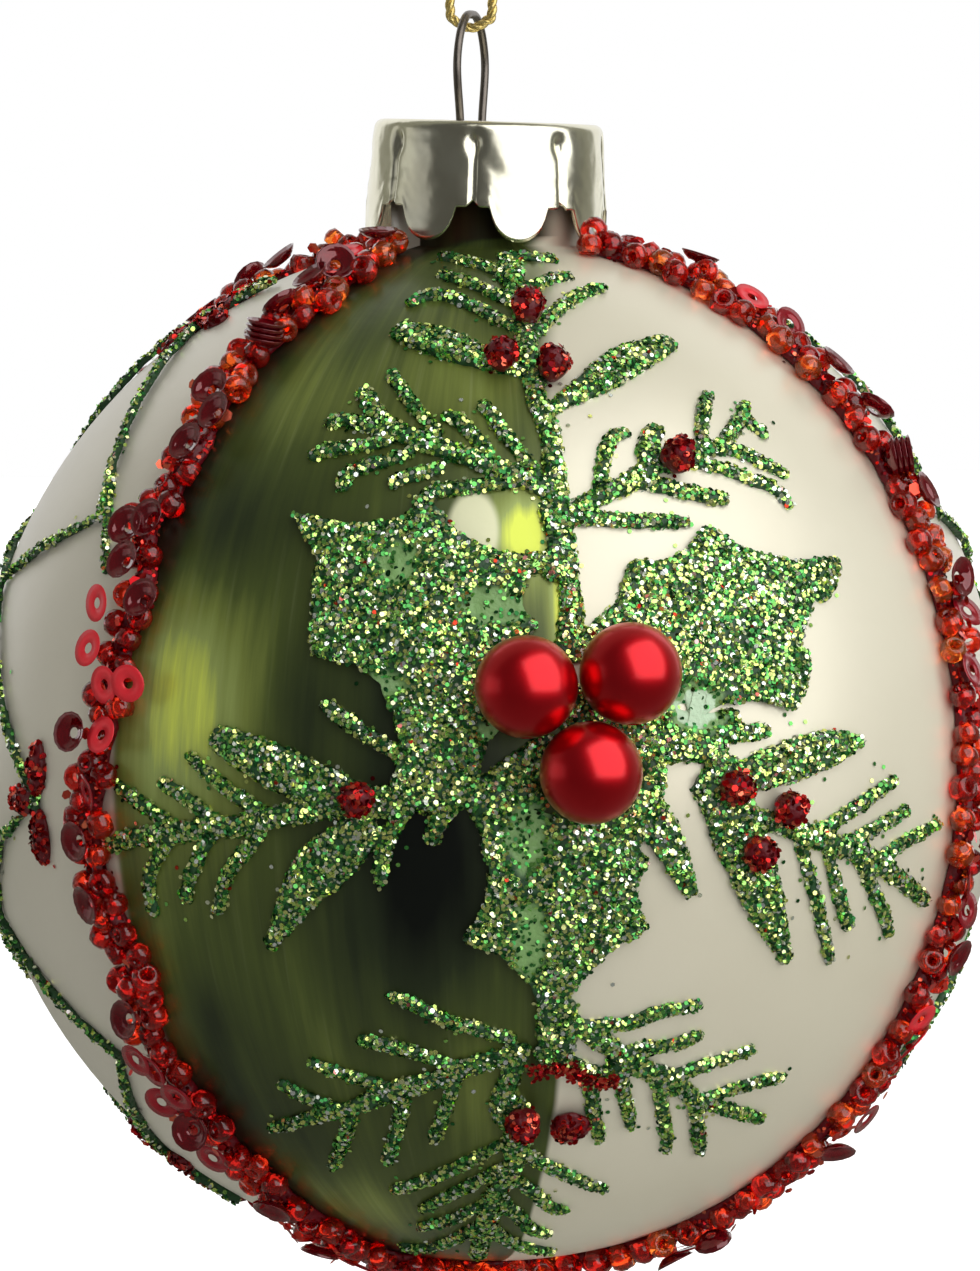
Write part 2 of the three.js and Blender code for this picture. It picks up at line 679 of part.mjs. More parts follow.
// The cap's skirt and the two bead lines around a panel that reaches this many degrees to each side
function borderFootprints(halfAngle) {
  const skirt = BALL_RADIUS * Math.acos((CAP_SKIRT_RADIUS + FIT_GAP) / BALL_RADIUS);
  const cap = panel(-BALL_RADIUS, BALL_RADIUS, skirt, BALL_RADIUS * 2);
  const half = BEAD_LINE_WIDTH / 2 + FIT_GAP;
  const latitudes = Array.from({ length: 17 }, (_, i) => 10 * (i - 8));
  const line = (longitude) => {
    const edge = (across) =>
      latitudes.map((latitude) => flat([longitude, latitude]).add(new THREE.Vector2(across, 0)));
    return [...edge(half), ...edge(-half).reverse()];
  };
  return [cap, line(halfAngle), line(-halfAngle)];
}

function medallionReliefs() {
  const reliefs = [];
  let taken = union([...setPieceFootprints(), ...borderFootprints(MEDALLION_HALF_ANGLE)].map(slab));
  for (const [name, outlines] of Object.entries(reliefDrawings())) {
    const drawn = union(outlines.map(slab)).subtract(taken);
    reliefs.push([name, bentOverBall(geometryOf(mainBody(drawn)))]);
    taken = taken.add(union(outlines.map((outline) => slab(grown(outline, FIT_GAP)))));
  }
  return reliefs;
}

// One medallion, drawn on the front and turned half a turn for the back
function medallion(side, reliefs) {
  const group = new THREE.Group();
  for (const [name, geometry] of reliefs) group.add(node(`${side}_${name}`, geometry, GREEN_GLITTER));
  for (const [name, turn] of Object.entries(PEARL_TURNS)) {
    group.add(node(`${side}_pearl_${name}`, pearl(turn), RED_PEARL));
  }
  for (const [name, place] of Object.entries(BERRIES_ON_LEAVES)) {
    group.add(node(`${side}_berry_${name}`, berry(place, RELIEF_TOP + FIT_GAP), RED_GLITTER));
  }
  for (const [name, place] of Object.entries(BERRIES_ON_GLASS)) {
    group.add(node(`${side}_berry_${name}`, berry(place, RELIEF_BASE), RED_GLITTER));
  }
  return group;
}

function sideTrellis(name, middle) {
  const border = union(borderFootprints(90 - MEDALLION_HALF_ANGLE).map(slab));
  const drawn = union(trellisOutlines().map(slab)).subtract(border);
  const raised = bentOverBall(geometryOf(mainBody(drawn)));
  return node(name, raised.rotateZ(radians(middle)), GREEN_GLITTER);
}

function bauble() {
  const hung = new THREE.Group();
  hung.position.set(HANGER_OFFSET, 0, -BALL_DROP);
  hung.add(node('glass_ball', glassBall(), GLASS));
  hung.add(node('crown_cap', crownCap(), CAP_METAL));
  hung.add(node('hanger_wire', hangerWire(), WIRE_METAL));

  const lines = {
    front_left: -MEDALLION_HALF_ANGLE,
    front_right: MEDALLION_HALF_ANGLE,
    back_right: 180 - MEDALLION_HALF_ANGLE,
    back_left: MEDALLION_HALF_ANGLE - 180,
  };
  for (const [name, longitude] of Object.entries(lines)) {
    hung.add(node(`bead_line_${name}`, beadLine(longitude), RED_BEADS));
  }
  hung.add(node('bead_cluster_bottom', beadCluster(), RED_BEADS));

  const reliefs = medallionReliefs();
  const back = medallion('back', reliefs);
  back.rotation.z = Math.PI;
  hung.add(medallion('front', reliefs), back);
  hung.add(sideTrellis('trellis_left', -90), sideTrellis('trellis_right', 90));

  const whole = new THREE.Group();
  whole.add(hung);
  whole.add(node('hanging_cord', hangingCord(), GOLD_CORD));
  whole.add(node('cord_knot', cordKnot(), GOLD_CORD));
  return whole;
}

export default bauble();
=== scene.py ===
import math
import random

import bmesh
import bpy
from mathutils import Euler, Matrix, Vector, noise


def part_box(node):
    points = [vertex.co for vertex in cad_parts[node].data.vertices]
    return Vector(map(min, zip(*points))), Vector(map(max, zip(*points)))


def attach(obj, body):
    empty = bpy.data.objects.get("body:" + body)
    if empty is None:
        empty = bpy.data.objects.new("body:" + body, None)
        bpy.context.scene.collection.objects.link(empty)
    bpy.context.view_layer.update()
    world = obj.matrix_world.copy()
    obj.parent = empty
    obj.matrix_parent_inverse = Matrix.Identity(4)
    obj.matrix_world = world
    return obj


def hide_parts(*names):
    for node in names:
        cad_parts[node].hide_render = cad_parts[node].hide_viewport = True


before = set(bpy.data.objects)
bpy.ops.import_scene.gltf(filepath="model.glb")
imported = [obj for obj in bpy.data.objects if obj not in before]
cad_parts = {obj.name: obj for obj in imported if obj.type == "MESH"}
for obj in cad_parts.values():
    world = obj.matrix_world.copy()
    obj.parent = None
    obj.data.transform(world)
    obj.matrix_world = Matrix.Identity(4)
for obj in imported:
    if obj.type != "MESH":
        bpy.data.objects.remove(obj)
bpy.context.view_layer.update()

MM = 0.001

# The ball as the frame holds it
BALL_LOW, BALL_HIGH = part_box("glass_ball")
BALL_RADIUS = (BALL_HIGH.x - BALL_LOW.x) / 2
BALL_CENTRE = Vector((
    (BALL_LOW.x + BALL_HIGH.x) / 2,
    (BALL_LOW.y + BALL_HIGH.y) / 2,
    BALL_LOW.z + BALL_RADIUS,
))
NECK_TOP = BALL_HIGH.z
NECK_RADIUS = 7.6 * MM
NECK_WALL = 1.0 * MM
GLASS_WALL = 0.9 * MM
MEDALLION_HALF_ANGLE = 54
MM_PER_DEGREE = 0.7

# The photograph was taken from a little to the left of the front
CAMERA_AZIMUTH = -9.5

# The crown cap and its hanger
CAP_HEIGHT = 9.2 * MM
CAP_TOP_RADIUS = 8.85 * MM
CAP_SKIRT_RADIUS = 9.25 * MM
CAP_SHEET = 0.4 * MM
CAP_LOBES = 8
CAP_TURN = -16
CAP_TILT = 1.8
TONGUE_LENGTH = 2.6 * MM
EYE_HEIGHT = 8.6 * MM
EYE_WIDTH = 8 * MM
LEG_SPACING = 6.4 * MM
LEG_HOLE = 1.2 * MM
LEG_DEPTH = 20 * MM
LEG_GAP = 0.3 * MM
HANGER_TURN = -25
WIRE_DIAMETER = 0.65 * MM
CAP_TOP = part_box("hanger_wire")[1].z - EYE_HEIGHT

# The cord. Its route has the same points as its solid, in millimetres aside and up.
CORD_DIAMETER = 0.8 * MM
CORD_ROUTE = [
    (0.6, -0.3), (0.78, -5.2), (1.445, -16.9), (1.7, -24.3), (1.19, -25.49), (0, -26),
    (-1.19, -25.49), (-1.7, -24.3), (-1.445, -16.9), (-0.78, -5.2), (-0.6, -0.3),
]

# The raised glitter. Red flakes are fewer and larger, and lie more unevenly.
GLUE_LIFT = 0.3 * MM
GLUE_GRAIN = 0.26 * MM
GLUE_HEIGHT = 0.78 * MM
FLAKE_DIAMETER = 0.36 * MM
FLAKES_PER_MM2 = 24
RED_FLAKES_PER_MM2 = 9
RED_FLAKE_TIP = 0.45
RED_FLAKE_SIZE = 1.35
SPILL_REACH = 0.55
BERRY_DIAMETER = 2.4 * MM
LARGE_BERRIES = {"bottom_right": 2.9 * MM}
PEARL_DIAMETER = 7.5 * MM
PEARL_HOLE = 0.9 * MM

# The strokes of each drawing: a width in millimetres and places on the ball. A leaf swells in the middle.
# The holly has its solid's outline, and its strokes only join it to its neighbours.
DRAWN_LINES = {
    "fir_upper_left": [
        (1.6, [
            (-0.8, 31.3), (-3.1, 33.2), (-8.1, 35.3), (-13.3, 37.2),
            (-18.8, 38.8), (-24.7, 41.4), (-29.2, 45.9),
        ]),
        (1.1, [(-33.1, 41), (-30.2, 41.6), (-23.9, 39.8)]),
        (1.1, [(-33.8, 36.3), (-31.8, 37.6), (-29, 37.8), (-22.9, 38.7)]),
        (1.1, [(-28.1, 32.5), (-27.9, 34.6), (-25.1, 35.8), (-19.7, 37.2)]),
        (1.1, [(-22, 33.2), (-20.6, 34.1), (-15.2, 35.6)]),
        (1.1, [(-18.4, 30.8), (-16.8, 32.3), (-13.1, 33), (-5, 33.7)]),
        (1.1, [(-25.5, 48.6), (-21.2, 44.2), (-16.2, 39.6)]),
        (1.1, [(-16.1, 42.4), (-13.3, 41.2), (-9.1, 37)]),
        (1.1, [(-10.8, 44.2), (-9.1, 42.5), (-7.3, 39.8), (-3, 34.5)]),
    ],
    "fir_upper_right": [
        (1.2, [(-1, 29), (2.7, 29.3), (7, 29), (15.5, 28.6)]),
        (1.5, [(-0.3, 29.9), (4.6, 32), (8.8, 33.7), (13.1, 35.8), (17.3, 37), (22.3, 37.7)]),
        (1.1, [(4.1, 32), (5.6, 36.1), (7.2, 39), (10, 40.1)]),
        (1.5, [(11.1, 36.1), (12.8, 38.9), (14.9, 40.3)]),
        (1.3, [(8.8, 33.5), (13.9, 32.8), (17.7, 31.8), (21.4, 31.2)]),
        (1.1, [(16.9, 36), (22.4, 35), (26.5, 33.4), (29.1, 32.6), (30.9, 30)]),
        (1.1, [(18.9, 37.5), (25.9, 37.2), (28.9, 35.7), (32.5, 33.9)]),
        (1.1, [(20.4, 38.5), (23.5, 42.8), (26.1, 45.2)]),
        (1.1, [(23.1, 37.7), (28.3, 40.9), (31.9, 43.5)]),
        (1.1, [(29.8, 41.4), (32.5, 38.8)]),
        (2.2, [(13.3, 35.9), (16.4, 36.6), (19.7, 37.3)]),
    ],
    "spray_top": [
        (1.6, [
            (-2.6, 61.2), (-2.8, 55), (-2.6, 51), (-2.3, 44.2), (-1.1, 40.1),
            (-1, 33.7), (-0.6, 26.7), (-0.5, 20), (-1.5, 14.7),
        ]),
        (1.1, [(-29.3, 73.5), (-15.3, 71.5), (-5.7, 68.4), (-0.6, 64.8)]),
        (1.1, [(-6.1, 73.5), (9.9, 73.1), (15.5, 72)]),
        (1.1, [(-24.4, 68.1), (-11.7, 64.6), (-2.8, 60.3)]),
        (1.1, [(14.9, 67.5), (7.2, 66.5), (-3.6, 62)]),
        (1.1, [(-27.5, 60.7), (-24.5, 62.4), (-18.5, 62.3), (-9.3, 58.7), (-2.3, 54.6)]),
        (1.1, [(20.8, 64.2), (14.1, 63.3), (7.4, 60.7), (2.9, 58.1), (-3.2, 52.7)]),
        (1.1, [(0.1, 70.8), (-2.9, 65.8), (-3.9, 61.2)]),
    ],
    "sprig_left": [
        (1.6, [
            (-55.3, -7.3), (-49.7, -6), (-41.5, -4.8), (-36.6, -4.1),
            (-31.9, -3), (-24.6, -1.6), (-16.7, 0.1),
        ]),
        (1.1, [(-53.4, -0.5), (-49.2, -2.6), (-44.4, -5.1)]),
        (1.1, [(-46.9, 0.2), (-42.7, -1.9), (-38.8, -4.5)]),
        (1.1, [(-43.1, 3), (-37.7, -0.6), (-32.4, -3.4)]),
        (1.1, [(-45.5, -6.1), (-48.3, -8.9), (-49.4, -11.2), (-49.3, -14.8)]),
        (1.1, [(-40, -5.4), (-41.7, -7.2), (-44, -11.1), (-44.4, -13.1)]),
        (1.1, [(-34, -4.7), (-36.5, -7.2), (-38.5, -9.2), (-40.6, -14)]),
        (1.2, [(-27.4, 9.1), (-23.1, 6.2), (-16.7, 2.4)]),
        (1.2, [(-17.9, -1.6), (-20.4, -5.7), (-21.1, -10.1)]),
        (4.6, [(-19.3, 1.6), (-15.6, 1), (-10.6, 2.2)]),
        (2.2, [(-24.1, -1), (-18.8, -1), (-14.6, 0.1)]),
        (1.5, [(-15.6, 0.1), (-11.5, 4.8), (-8.4, 7.4)]),
        (1.6, [(-14.6, -0.9), (-10.4, 0.1), (-4.2, 4.8)]),
        (1.3, [(-15.7, -5.6), (-14.6, -3), (-12.5, -0.9)]),
        (4.2, [(-17.3, 9.4), (-16.2, 6.3), (-15.6, 2.7)]),
        (3.4, [(-11.7, 9), (-12.3, 4.8), (-13, 1.7)]),
        (3, [(-8.4, 2.7), (-6.3, 0.1), (-5.2, -2.5)]),
        (3.6, [(-10.2, -0.9), (-8.2, -3), (-7.5, -6.1)]),
    ],
    "sprig_right": [
        (3, [(6.4, 4.6), (12, 4.8), (16, 4.4)]),
        (4.4, [(13.6, 1.8), (16, -0.3), (16.8, -4.1)]),
        (2.8, [(15.1, -1.3), (16.7, -5.4), (18.3, -7.8)]),
        (1.3, [(12.5, 4.8), (17.2, 5.4), (21.5, 5.7)]),
        (1.6, [
            (16, -3.5), (20.2, -3.6), (24, -4.7), (30.4, -6.8),
            (34.2, -7.8), (38.6, -9.8), (48.6, -14.4),
        ]),
        (1.1, [(39.9, -0.3), (33, -3.2), (27.4, -5.6)]),
        (1.1, [(42.1, -3.8), (35.5, -5.8), (31.1, -7.2)]),
        (1.1, [(48.9, -5.7), (40.8, -7.7), (37.6, -9.1)]),
        (1.1, [(25.4, -5.5), (28.2, -11.6), (33.1, -20.4)]),
        (1.1, [(29.4, -7.1), (32.5, -13.2), (35, -16.5)]),
        (1.1, [(33.9, -8.1), (39.3, -14.2), (42.6, -17.8)]),
        (1.4, [(7.7, 9.3), (12.1, 6.9), (18, 7.4)]),
        (1.3, [(7, 5.7), (8.3, 9.3), (12.2, 9.7)]),
        (5.2, [(12.2, 8.4), (13, 8.2), (13.8, 8.0)]),
    ],
    "fir_bottom_left": [
        (1.1, [(-21.2, -22.5), (-18, -23.7), (-14.6, -25.5), (-10.6, -26.7), (-6.4, -28)]),
        (1.1, [(-25.4, -28.1), (-20.2, -29.1), (-13.7, -31.4)]),
        (1.1, [(-32.6, -31.4), (-26.7, -33.3), (-21.7, -34.8)]),
        (1.1, [(-37.9, -34.5), (-32.6, -37.2), (-28.5, -38.1)]),
        (1.1, [(-43, -41.8), (-33.2, -39), (-28.5, -38)]),
        (1.6, [
            (-4.6, -29), (-8.8, -30.3), (-12.5, -31.6), (-16.3, -33.3),
            (-21, -34.5), (-25.3, -36.4), (-29.3, -38.2),
        ]),
        (1.1, [(-28.2, -38), (-30.4, -41.6), (-35.7, -48.2)]),
        (1.1, [(-20.8, -35.1), (-21.7, -38.9), (-25.7, -46.7)]),
        (1.1, [(-13.3, -32.2), (-15.9, -38.8), (-17.4, -42.6)]),
        (1.6, [(-5.5, -29.7), (-6.9, -33), (-8, -37.3), (-6.3, -40.3)]),
    ],
    "fir_bottom_right": [
        (1.1, [(16.1, -24.2), (10.1, -25), (7.2, -26.1), (0.6, -26.2)]),
        (1.1, [(17.1, -28), (12.9, -29.2), (4.7, -29.6)]),
        (1.1, [(25.5, -30.4), (18.6, -32.1), (14, -33.4)]),
        (1.1, [(32.9, -34.8), (27.7, -35.2), (19.5, -37.1)]),
        (1.1, [(33.6, -41.1), (24.7, -38.6), (19.5, -37.1)]),
        (1.6, [(-1.3, -25.3), (1.5, -26.6), (5.9, -29.5), (10.3, -32.1), (14.1, -33.6), (19.8, -37.4)]),
        (1.1, [(-1, -29.1), (2.9, -33.2), (5.1, -39), (6.9, -42.9)]),
        (1.1, [(5.7, -30.6), (7.7, -34), (11, -41)]),
        (1.1, [(11.8, -32.7), (14.2, -37.2), (18.8, -45.2)]),
        (1.1, [(17.8, -35.8), (20.7, -39.8), (25.4, -46.1)]),
        (1.6, [(-4, -29), (-0.8, -30.7), (3.2, -32.4), (6.6, -33.3), (7.5, -31.4)]),
    ],
    "fir_bottom": [
        (1.6, [
            (-6.4, -38.8), (-5.7, -43.6), (-5.7, -46.2), (-6.9, -48.9),
            (-8.4, -53), (-9.9, -59.2), (-13.7, -72),
        ]),
        (1.1, [(-26.8, -52), (-21.1, -50.1), (-14.8, -47.1), (-7.9, -43)]),
        (1.1, [(-22.7, -56.1), (-16.4, -52.5), (-7.8, -47.1)]),
        (1.1, [(-25.4, -60.7), (-17.5, -58.5), (-9, -53.5)]),
        (1.1, [(-37.4, -68.3), (-27.2, -68.3), (-13.3, -61.2), (-9.9, -58.9)]),
        (1.1, [(-6.2, -43.2), (-1.3, -46.2), (3.2, -48.6), (11.4, -52.2)]),
        (1.1, [(-6.5, -48.2), (-1.5, -52.1), (2.5, -55.5), (6, -56.4)]),
        (1.1, [(-7.5, -53), (-4, -57.1), (-0.4, -60.7), (5.3, -63.2)]),
        (1.1, [(-9.3, -59.5), (-5, -64.6), (2.5, -68), (12.1, -70.6)]),
        (1.2, [(-7.4, -35.1), (-6.7, -38.8), (-6.2, -41.9)]),
        (2.2, [(-7.3, -35.8), (-5.3, -39.1), (-5.3, -43.2)]),
    ],
    "holly_left": [
        (5, [(-20, 21.1), (-16.9, 14.2), (-14.7, 9.5)]),
        (3, [(-28, 24.3), (-27.3, 18.8), (-27.2, 14)]),
        (2.2, [(-23, 24.4), (-22.6, 20)]),
        (1.5, [(-16.8, 9.4), (-13.6, 10.5), (-10.4, 9.5)]),
        (2, [(-15.1, 24.4), (-10.5, 23.3), (-3.1, 24.4)]),
        (1.4, [(-2.6, 31.3), (-1.7, 26.7), (-2.4, 22.2)]),
        (2.4, [(-15.7, 9.5), (-16.7, 7.9), (-14.6, 6.9)]),
    ],
    "holly_right": [
        (2, [(8, 23.7), (6.9, 21), (6.1, 17.8)]),
        (1.2, [(17.5, 27.4), (17.4, 25.2), (19.2, 23.5)]),
        (1.2, [(35.1, 24), (33.8, 21.9), (31, 19.3)]),
        (2, [(23.8, 8.8), (25.3, 10.3), (27, 14)]),
        (2, [(5.3, 18.9), (3.8, 17.3), (1.5, 15.7)]),
        (1.8, [(2.6, 15.7), (0.3, 14.7), (-1.8, 15.2)]),
        (1.6, [(-0.2, 15.7), (-0.3, 20), (-0.4, 22.2)]),
    ],
    "left": [
        (1, [(-67.8, 33.9), (-63.8, 28.4), (-59.9, 21.6)]),
    ],
    "holly_bottom": [
        (1.5, [(7.3, -0.6), (8.8, -2.7), (10.6, -5.9), (11.5, -8.8), (12.7, -11.5)]),
        (3, [(-1.4, -22.9), (-1.6, -25.9), (-1.1, -29.7)]),
        (2, [(2.1, -4.1), (6.4, -2.1), (8, 1), (7.5, 4.1)]),
        (2, [(-7.3, 0.1), (-5.2, 2.2), (-4.2, 4.8)]),
        (3, [(-2, 10.5), (0.1, 7.3), (2.1, 5.2)]),
        (3, [(-5.2, 4.8), (-2.1, 2.7), (-0.6, -1)]),
        (2.4, [(2.2, 6.3), (6.4, 5), (8.6, 4.3)]),
    ],
}
DRAWN_LEAVES = {
    "spray_top": [
        (3, [(-27.5, 55.6), (-20.2, 53.9), (-12.7, 51.5), (-2.2, 47.9)]),
        (2.9, [(25.3, 53.3), (14.7, 50.4), (7.2, 47.1), (-1.5, 42.5)]),
        (2.2, [(-3.2, 70.8), (-3.7, 64.6)]),
    ],
    "sprig_left": [
        (3.4, [(-40, 5.2), (-33, 2.4), (-24.1, -1), (-19.8, -2.2)]),
        (4, [(-21.8, -3.3), (-25.8, -6.9), (-29.4, -10.2), (-34.5, -17.4)]),
    ],
    "sprig_right": [
        (3.2, [(15.3, 0.2), (22.6, 2), (29.3, 3.5), (34.5, 4.1)]),
        (3.9, [(14.8, -0.3), (18.6, -6.8), (21.6, -12.3), (26.2, -19.6)]),
    ],
}

# Places in a drawing where the painted leaf shows, with their half sizes and the share of glitter gone
BARE_PLACES = [
    (-19.8, 24.0, 2.6, 2.6, 0.8),
    (-8.5, 19.5, 4.6, 2.2, 0.85),
    (-20.6, 11.0, 2.8, 1.5, 0.9),
    (13.0, 8.2, 3.5, 3.1, 1.0),
    (25.2, 12.2, 1.4, 0.6, 0.8),
    (-9.4, 5.9, 2.4, 1.2, 0.7),
    (-5.6, -4.8, 2.6, 4.0, 0.8),
    (-5.1, -16.0, 2.0, 4.8, 0.85),
]

# Light and dark in the green paint, partly brushed tone and partly painted reflection of the left lamp and
# painted shade: how much, the middle of the spot and its size
GREEN_TONE_AND_PAINTED_LIGHT = [
    (0.45, (-45, 5.5), (10, 13)),
    (0.18, (-47, 16), (6, 7)),
    (0.06, (-36, 14), (9, 11)),
    (-0.17, (-41, 28), (13, 8)),
    (-0.20, (-31, 9), (5, 9)),
    (-0.50, (-16, -8), (9, 16)),
    (-0.18, (-22, 14), (6, 9)),
    (0.10, (-50, -22), (4, 9)),
    (-0.03, (-28, -18), (5, 5)),
    (-0.12, (-44, -26), (4, 5)),
    (-0.18, (-46, -38), (7, 12)),
    (-0.08, (-36, -44), (8, 8)),
    (0.16, (-12, -35), (5, 11)),
    (0.20, (-12, 47), (10, 8)),
    (0.16, (-36, 45), (11, 8)),
    (0.05, (-27, 60), (8, 8)),
    (0.20, (-35, -56), (12, 7)),
    (0.72, (-5.4, 27.5), (3.6, 5)),
    (0.62, (-1.6, 18), (1.3, 7)),
]

# Red flakes trailed over the twigs at the bottom
TRAIL_FLAKES = 260
RED_TRAIL = [(-4.4, -31.5), (-0.5, -30.9), (2.4, -32.4), (6.6, -33.0)]

# The flowers of a side trellis, as degrees from the middle of the panel and latitude, and their petals
PETAL_START = 0.5 * MM
PETAL_LENGTH = 4.2 * MM
PETAL_WIDTH = 2.1 * MM
TRELLIS_FLOWERS = [
    ((0, 57), [(1, 0), (-1, 0), (0, 1), (0, -1)]),
    ((0, -52), [(1, 0), (-1, 0), (0, 1), (0, -1)]),
    ((22.5, -3.5), [(-1, 0), (0, 1), (0, -1)]),
    ((-22.5, -3.5), [(1, 0), (0, 1), (0, -1)]),
]

# The bead lines and their longitudes. Their glue strays from the meridian, as latitude and millimetres to
# the right: by the first list on the front left line and the line opposite to it, else by the second.
BEAD_LINES = {
    "front_left": -MEDALLION_HALF_ANGLE,
    "front_right": MEDALLION_HALF_ANGLE,
    "back_right": 180 - MEDALLION_HALF_ANGLE,
    "back_left": MEDALLION_HALF_ANGLE - 180,
}
STRAY_LEFT = [
    (-90, 0), (-72, 0), (-60, 1.2), (-51, 1.0), (-44, 0.6), (-36, -0.1), (-31, -1.0), (-25, 0.1),
    (-20, 0.2), (-15.6, -0.9), (-13, -1.2), (-10, -1.9), (-7, -2.1), (-4.3, -2.1), (-0.4, -1.4),
    (4.5, -0.5), (10, 0), (15.6, 0.5), (18.6, 1.4), (22, 1.2), (27, -0.6), (31, 0.5), (36, 1.4),
    (41, 0.8), (48, 0.4), (54, 1.0), (61, 1.4), (71, 0.4), (76, 0), (90, 0),
]
STRAY_RIGHT = [(-90, 0), (60, 0), (67, -0.3), (71, -1.2), (76, -2.6), (90, -2.6)]
BEAD_DIAMETER = 2.25 * MM
BEAD_LENGTH = 1.6 * MM
BEAD_HOLE = 0.85 * MM
BEAD_ROW_TOP = 75.5
BEAD_ROW_BOTTOM = -80
BED_SHARE = 0.42
FOOT_RADIUS = 5.6 * MM
HEXES_ON_LINE = 170
SEQUIN_HEIGHT = 1.9 * MM
CHOSEN_SEQUIN_HEIGHT = 2.0 * MM

# The layers of beads: height in millimetres, share of the width, tries, and millimetres between beads
BEAD_LAYERS = [(0.95, 1.0, 2400, 1.62), (1.75, 0.58, 800, 1.66)]

# How many degrees aside of a bead line a place may be that belongs to it
LINE_REACH = 10

# Sequins that stand out in the photograph, as longitude and latitude. A flat one has 1 for wine colour and
# 0 for coral. A stack has the degrees that it leans back and aside.
FLAT_SEQUINS = [
    (-56.5, 18.0, 0), (-56.4, 13.3, 0), (-53.1, 9.7, 0), (-49.7, 10.0, 0), (-52.9, 4.6, 0),
    (-57.0, -31.0, 1), (-53.0, -35.6, 1), (-56.5, -36.5, 1), (-54.9, -32.2, 1), (56.2, -40.9, 1),
    (52.6, 10.2, 1), (55.5, -66.0, 1), (53.7, 57.5, 0), (-110.0, 70.0, 0),
]
CUP_SEQUINS = [
    (-52.1, 43.2), (-48.6, 40.1), (-50.7, 36.1), (-55.0, 26.3), (-51.8, 27.2), (-49.4, 18.6),
    (-56.5, -6.4), (-56.0, -12.9), (-57.1, 4.6), (-53.5, 22.5), (55.5, 65.0), (54.7, 29.5),
    (55.0, 46.0), (55.0, -68.0), (54.5, 20.0), (54.0, -20.0),
]
SEQUIN_STACKS = [(-49.8, 51.4, -42, 12), (53.6, 34.0, 24, 30)]

# How much darker, deeper wine the bead glass is made in the lower part of the lines on the left: painted
# shade on the side away from the key lamp
LEFT_BEAD_SHADE = 0.5


def direction(longitude, latitude):
    """The direction from the ball's centre to a place on it."""
    lon, lat = math.radians(longitude), math.radians(latitude)
    return Vector((math.cos(lat) * math.sin(lon), -math.cos(lat) * math.cos(lon), math.sin(lat)))


def on_ball(longitude, latitude, height=0.0):
    """A point on the glass or at a height over it."""
    return BALL_CENTRE + direction(longitude, latitude) * (BALL_RADIUS + height)


def outward_at(point):
    """The direction from the ball's centre to a point."""
    return (point - BALL_CENTRE).normalized()


def place_of(point, turned=False):
    """Longitude and latitude of a point. On the back they are counted from the middle of the back."""
    out = outward_at(point)
    if turned:
        out = Vector((-out.x, -out.y, out.z))
    return math.degrees(math.atan2(out.x, -out.y)), math.degrees(math.asin(max(-1, min(1, out.z))))


def upright(outward):
    """A turn that lays a flat shape on the glass at an outward direction."""
    return outward.to_track_quat("Z", "Y").to_matrix().to_4x4()


def smooth_step(low, high, value):
    """0 below low and 1 above high, with a soft change between them."""
    share = max(0.0, min(1.0, (value - low) / (high - low)))
    return share * share * (3 - 2 * share)


# Shader nodes written as arithmetic

class Socket:
    """A value in a node tree. Arithmetic on it adds Math nodes."""

    def __init__(self, nodes, output):
        self.nodes = nodes
        self.output = output

    def math(self, operation, *others):
        return self.nodes.add("ShaderNodeMath", {"operation": operation}, [self, *others])

    def __add__(self, other):
        return self.math("ADD", other)

    def __sub__(self, other):
        return self.math("SUBTRACT", other)

    def __rsub__(self, other):
        return -self + other

    def __mul__(self, other):
        return self.math("MULTIPLY", other)

    def __truediv__(self, other):
        return self.math("DIVIDE", other)

    def __neg__(self):
        return self * -1

    def __abs__(self):
        return self.math("ABSOLUTE")

    __radd__ = __add__
    __rmul__ = __mul__

    def step(self, low, high):
        """0 below low and 1 above high, with a soft change between them."""
        settings = {"interpolation_type": "SMOOTHSTEP"}
        return self.nodes.add("ShaderNodeMapRange", settings, [self, low, high])

    def falling(self, high, low):
        """1 below low and 0 above high."""
        return 1 - self.step(low, high)


class Nodes:
    """A node tree with one way to add any node to it."""

    def __init__(self, tree):
        self.tree = tree

    def add(self, kind, settings=None, values=(), output=0):
        node = self.tree.nodes.new(kind)
        for name, value in (settings or {}).items():
            if name == "stops":
                self.set_stops(node.color_ramp, value)
            else:
                setattr(node, name, value)
        pairs = values.items() if isinstance(values, dict) else enumerate(values)
        for key, value in pairs:
            self.feed(node.inputs[key], value)
        return Socket(self, node.outputs[output]) if node.outputs else None

    def set_stops(self, ramp, stops):
        while len(ramp.elements) < len(stops):
            ramp.elements.new(0.5)
        for element, (position, colour) in zip(ramp.elements, stops):
            element.position = position
            element.color = (*colour, 1)

    def feed(self, socket, value):
        if isinstance(value, Socket):
            self.tree.links.new(value.output, socket)
        elif isinstance(value, tuple) and len(value) == 3 and socket.type == "RGBA":
            socket.default_value = (*value, 1)
        else:
            socket.default_value = value

    def place(self):
        return self.add("ShaderNodeTexCoord", output="Object")

    def parts(self, vector):
        return [self.add("ShaderNodeSeparateXYZ", None, [vector], axis) for axis in "XYZ"]

    def joined(self, *parts):
        return self.add("ShaderNodeCombineXYZ", None, parts)

    def grain(self, vector, scale, detail=2.0, roughness=0.5):
        values = {"Vector": vector, "Scale": scale, "Detail": detail, "Roughness": roughness}
        return self.add("ShaderNodeTexNoise", None, values)

    def attribute(self, name):
        return self.add("ShaderNodeAttribute", {"attribute_name": name}, output="Fac")

    def ramp(self, value, *stops):
        return self.add("ShaderNodeValToRGB", {"stops": stops}, [value])

    def mix(self, factor, first, second):
        return self.add("ShaderNodeMix", {"data_type": "RGBA"}, {0: factor, 6: first, 7: second}, 2)


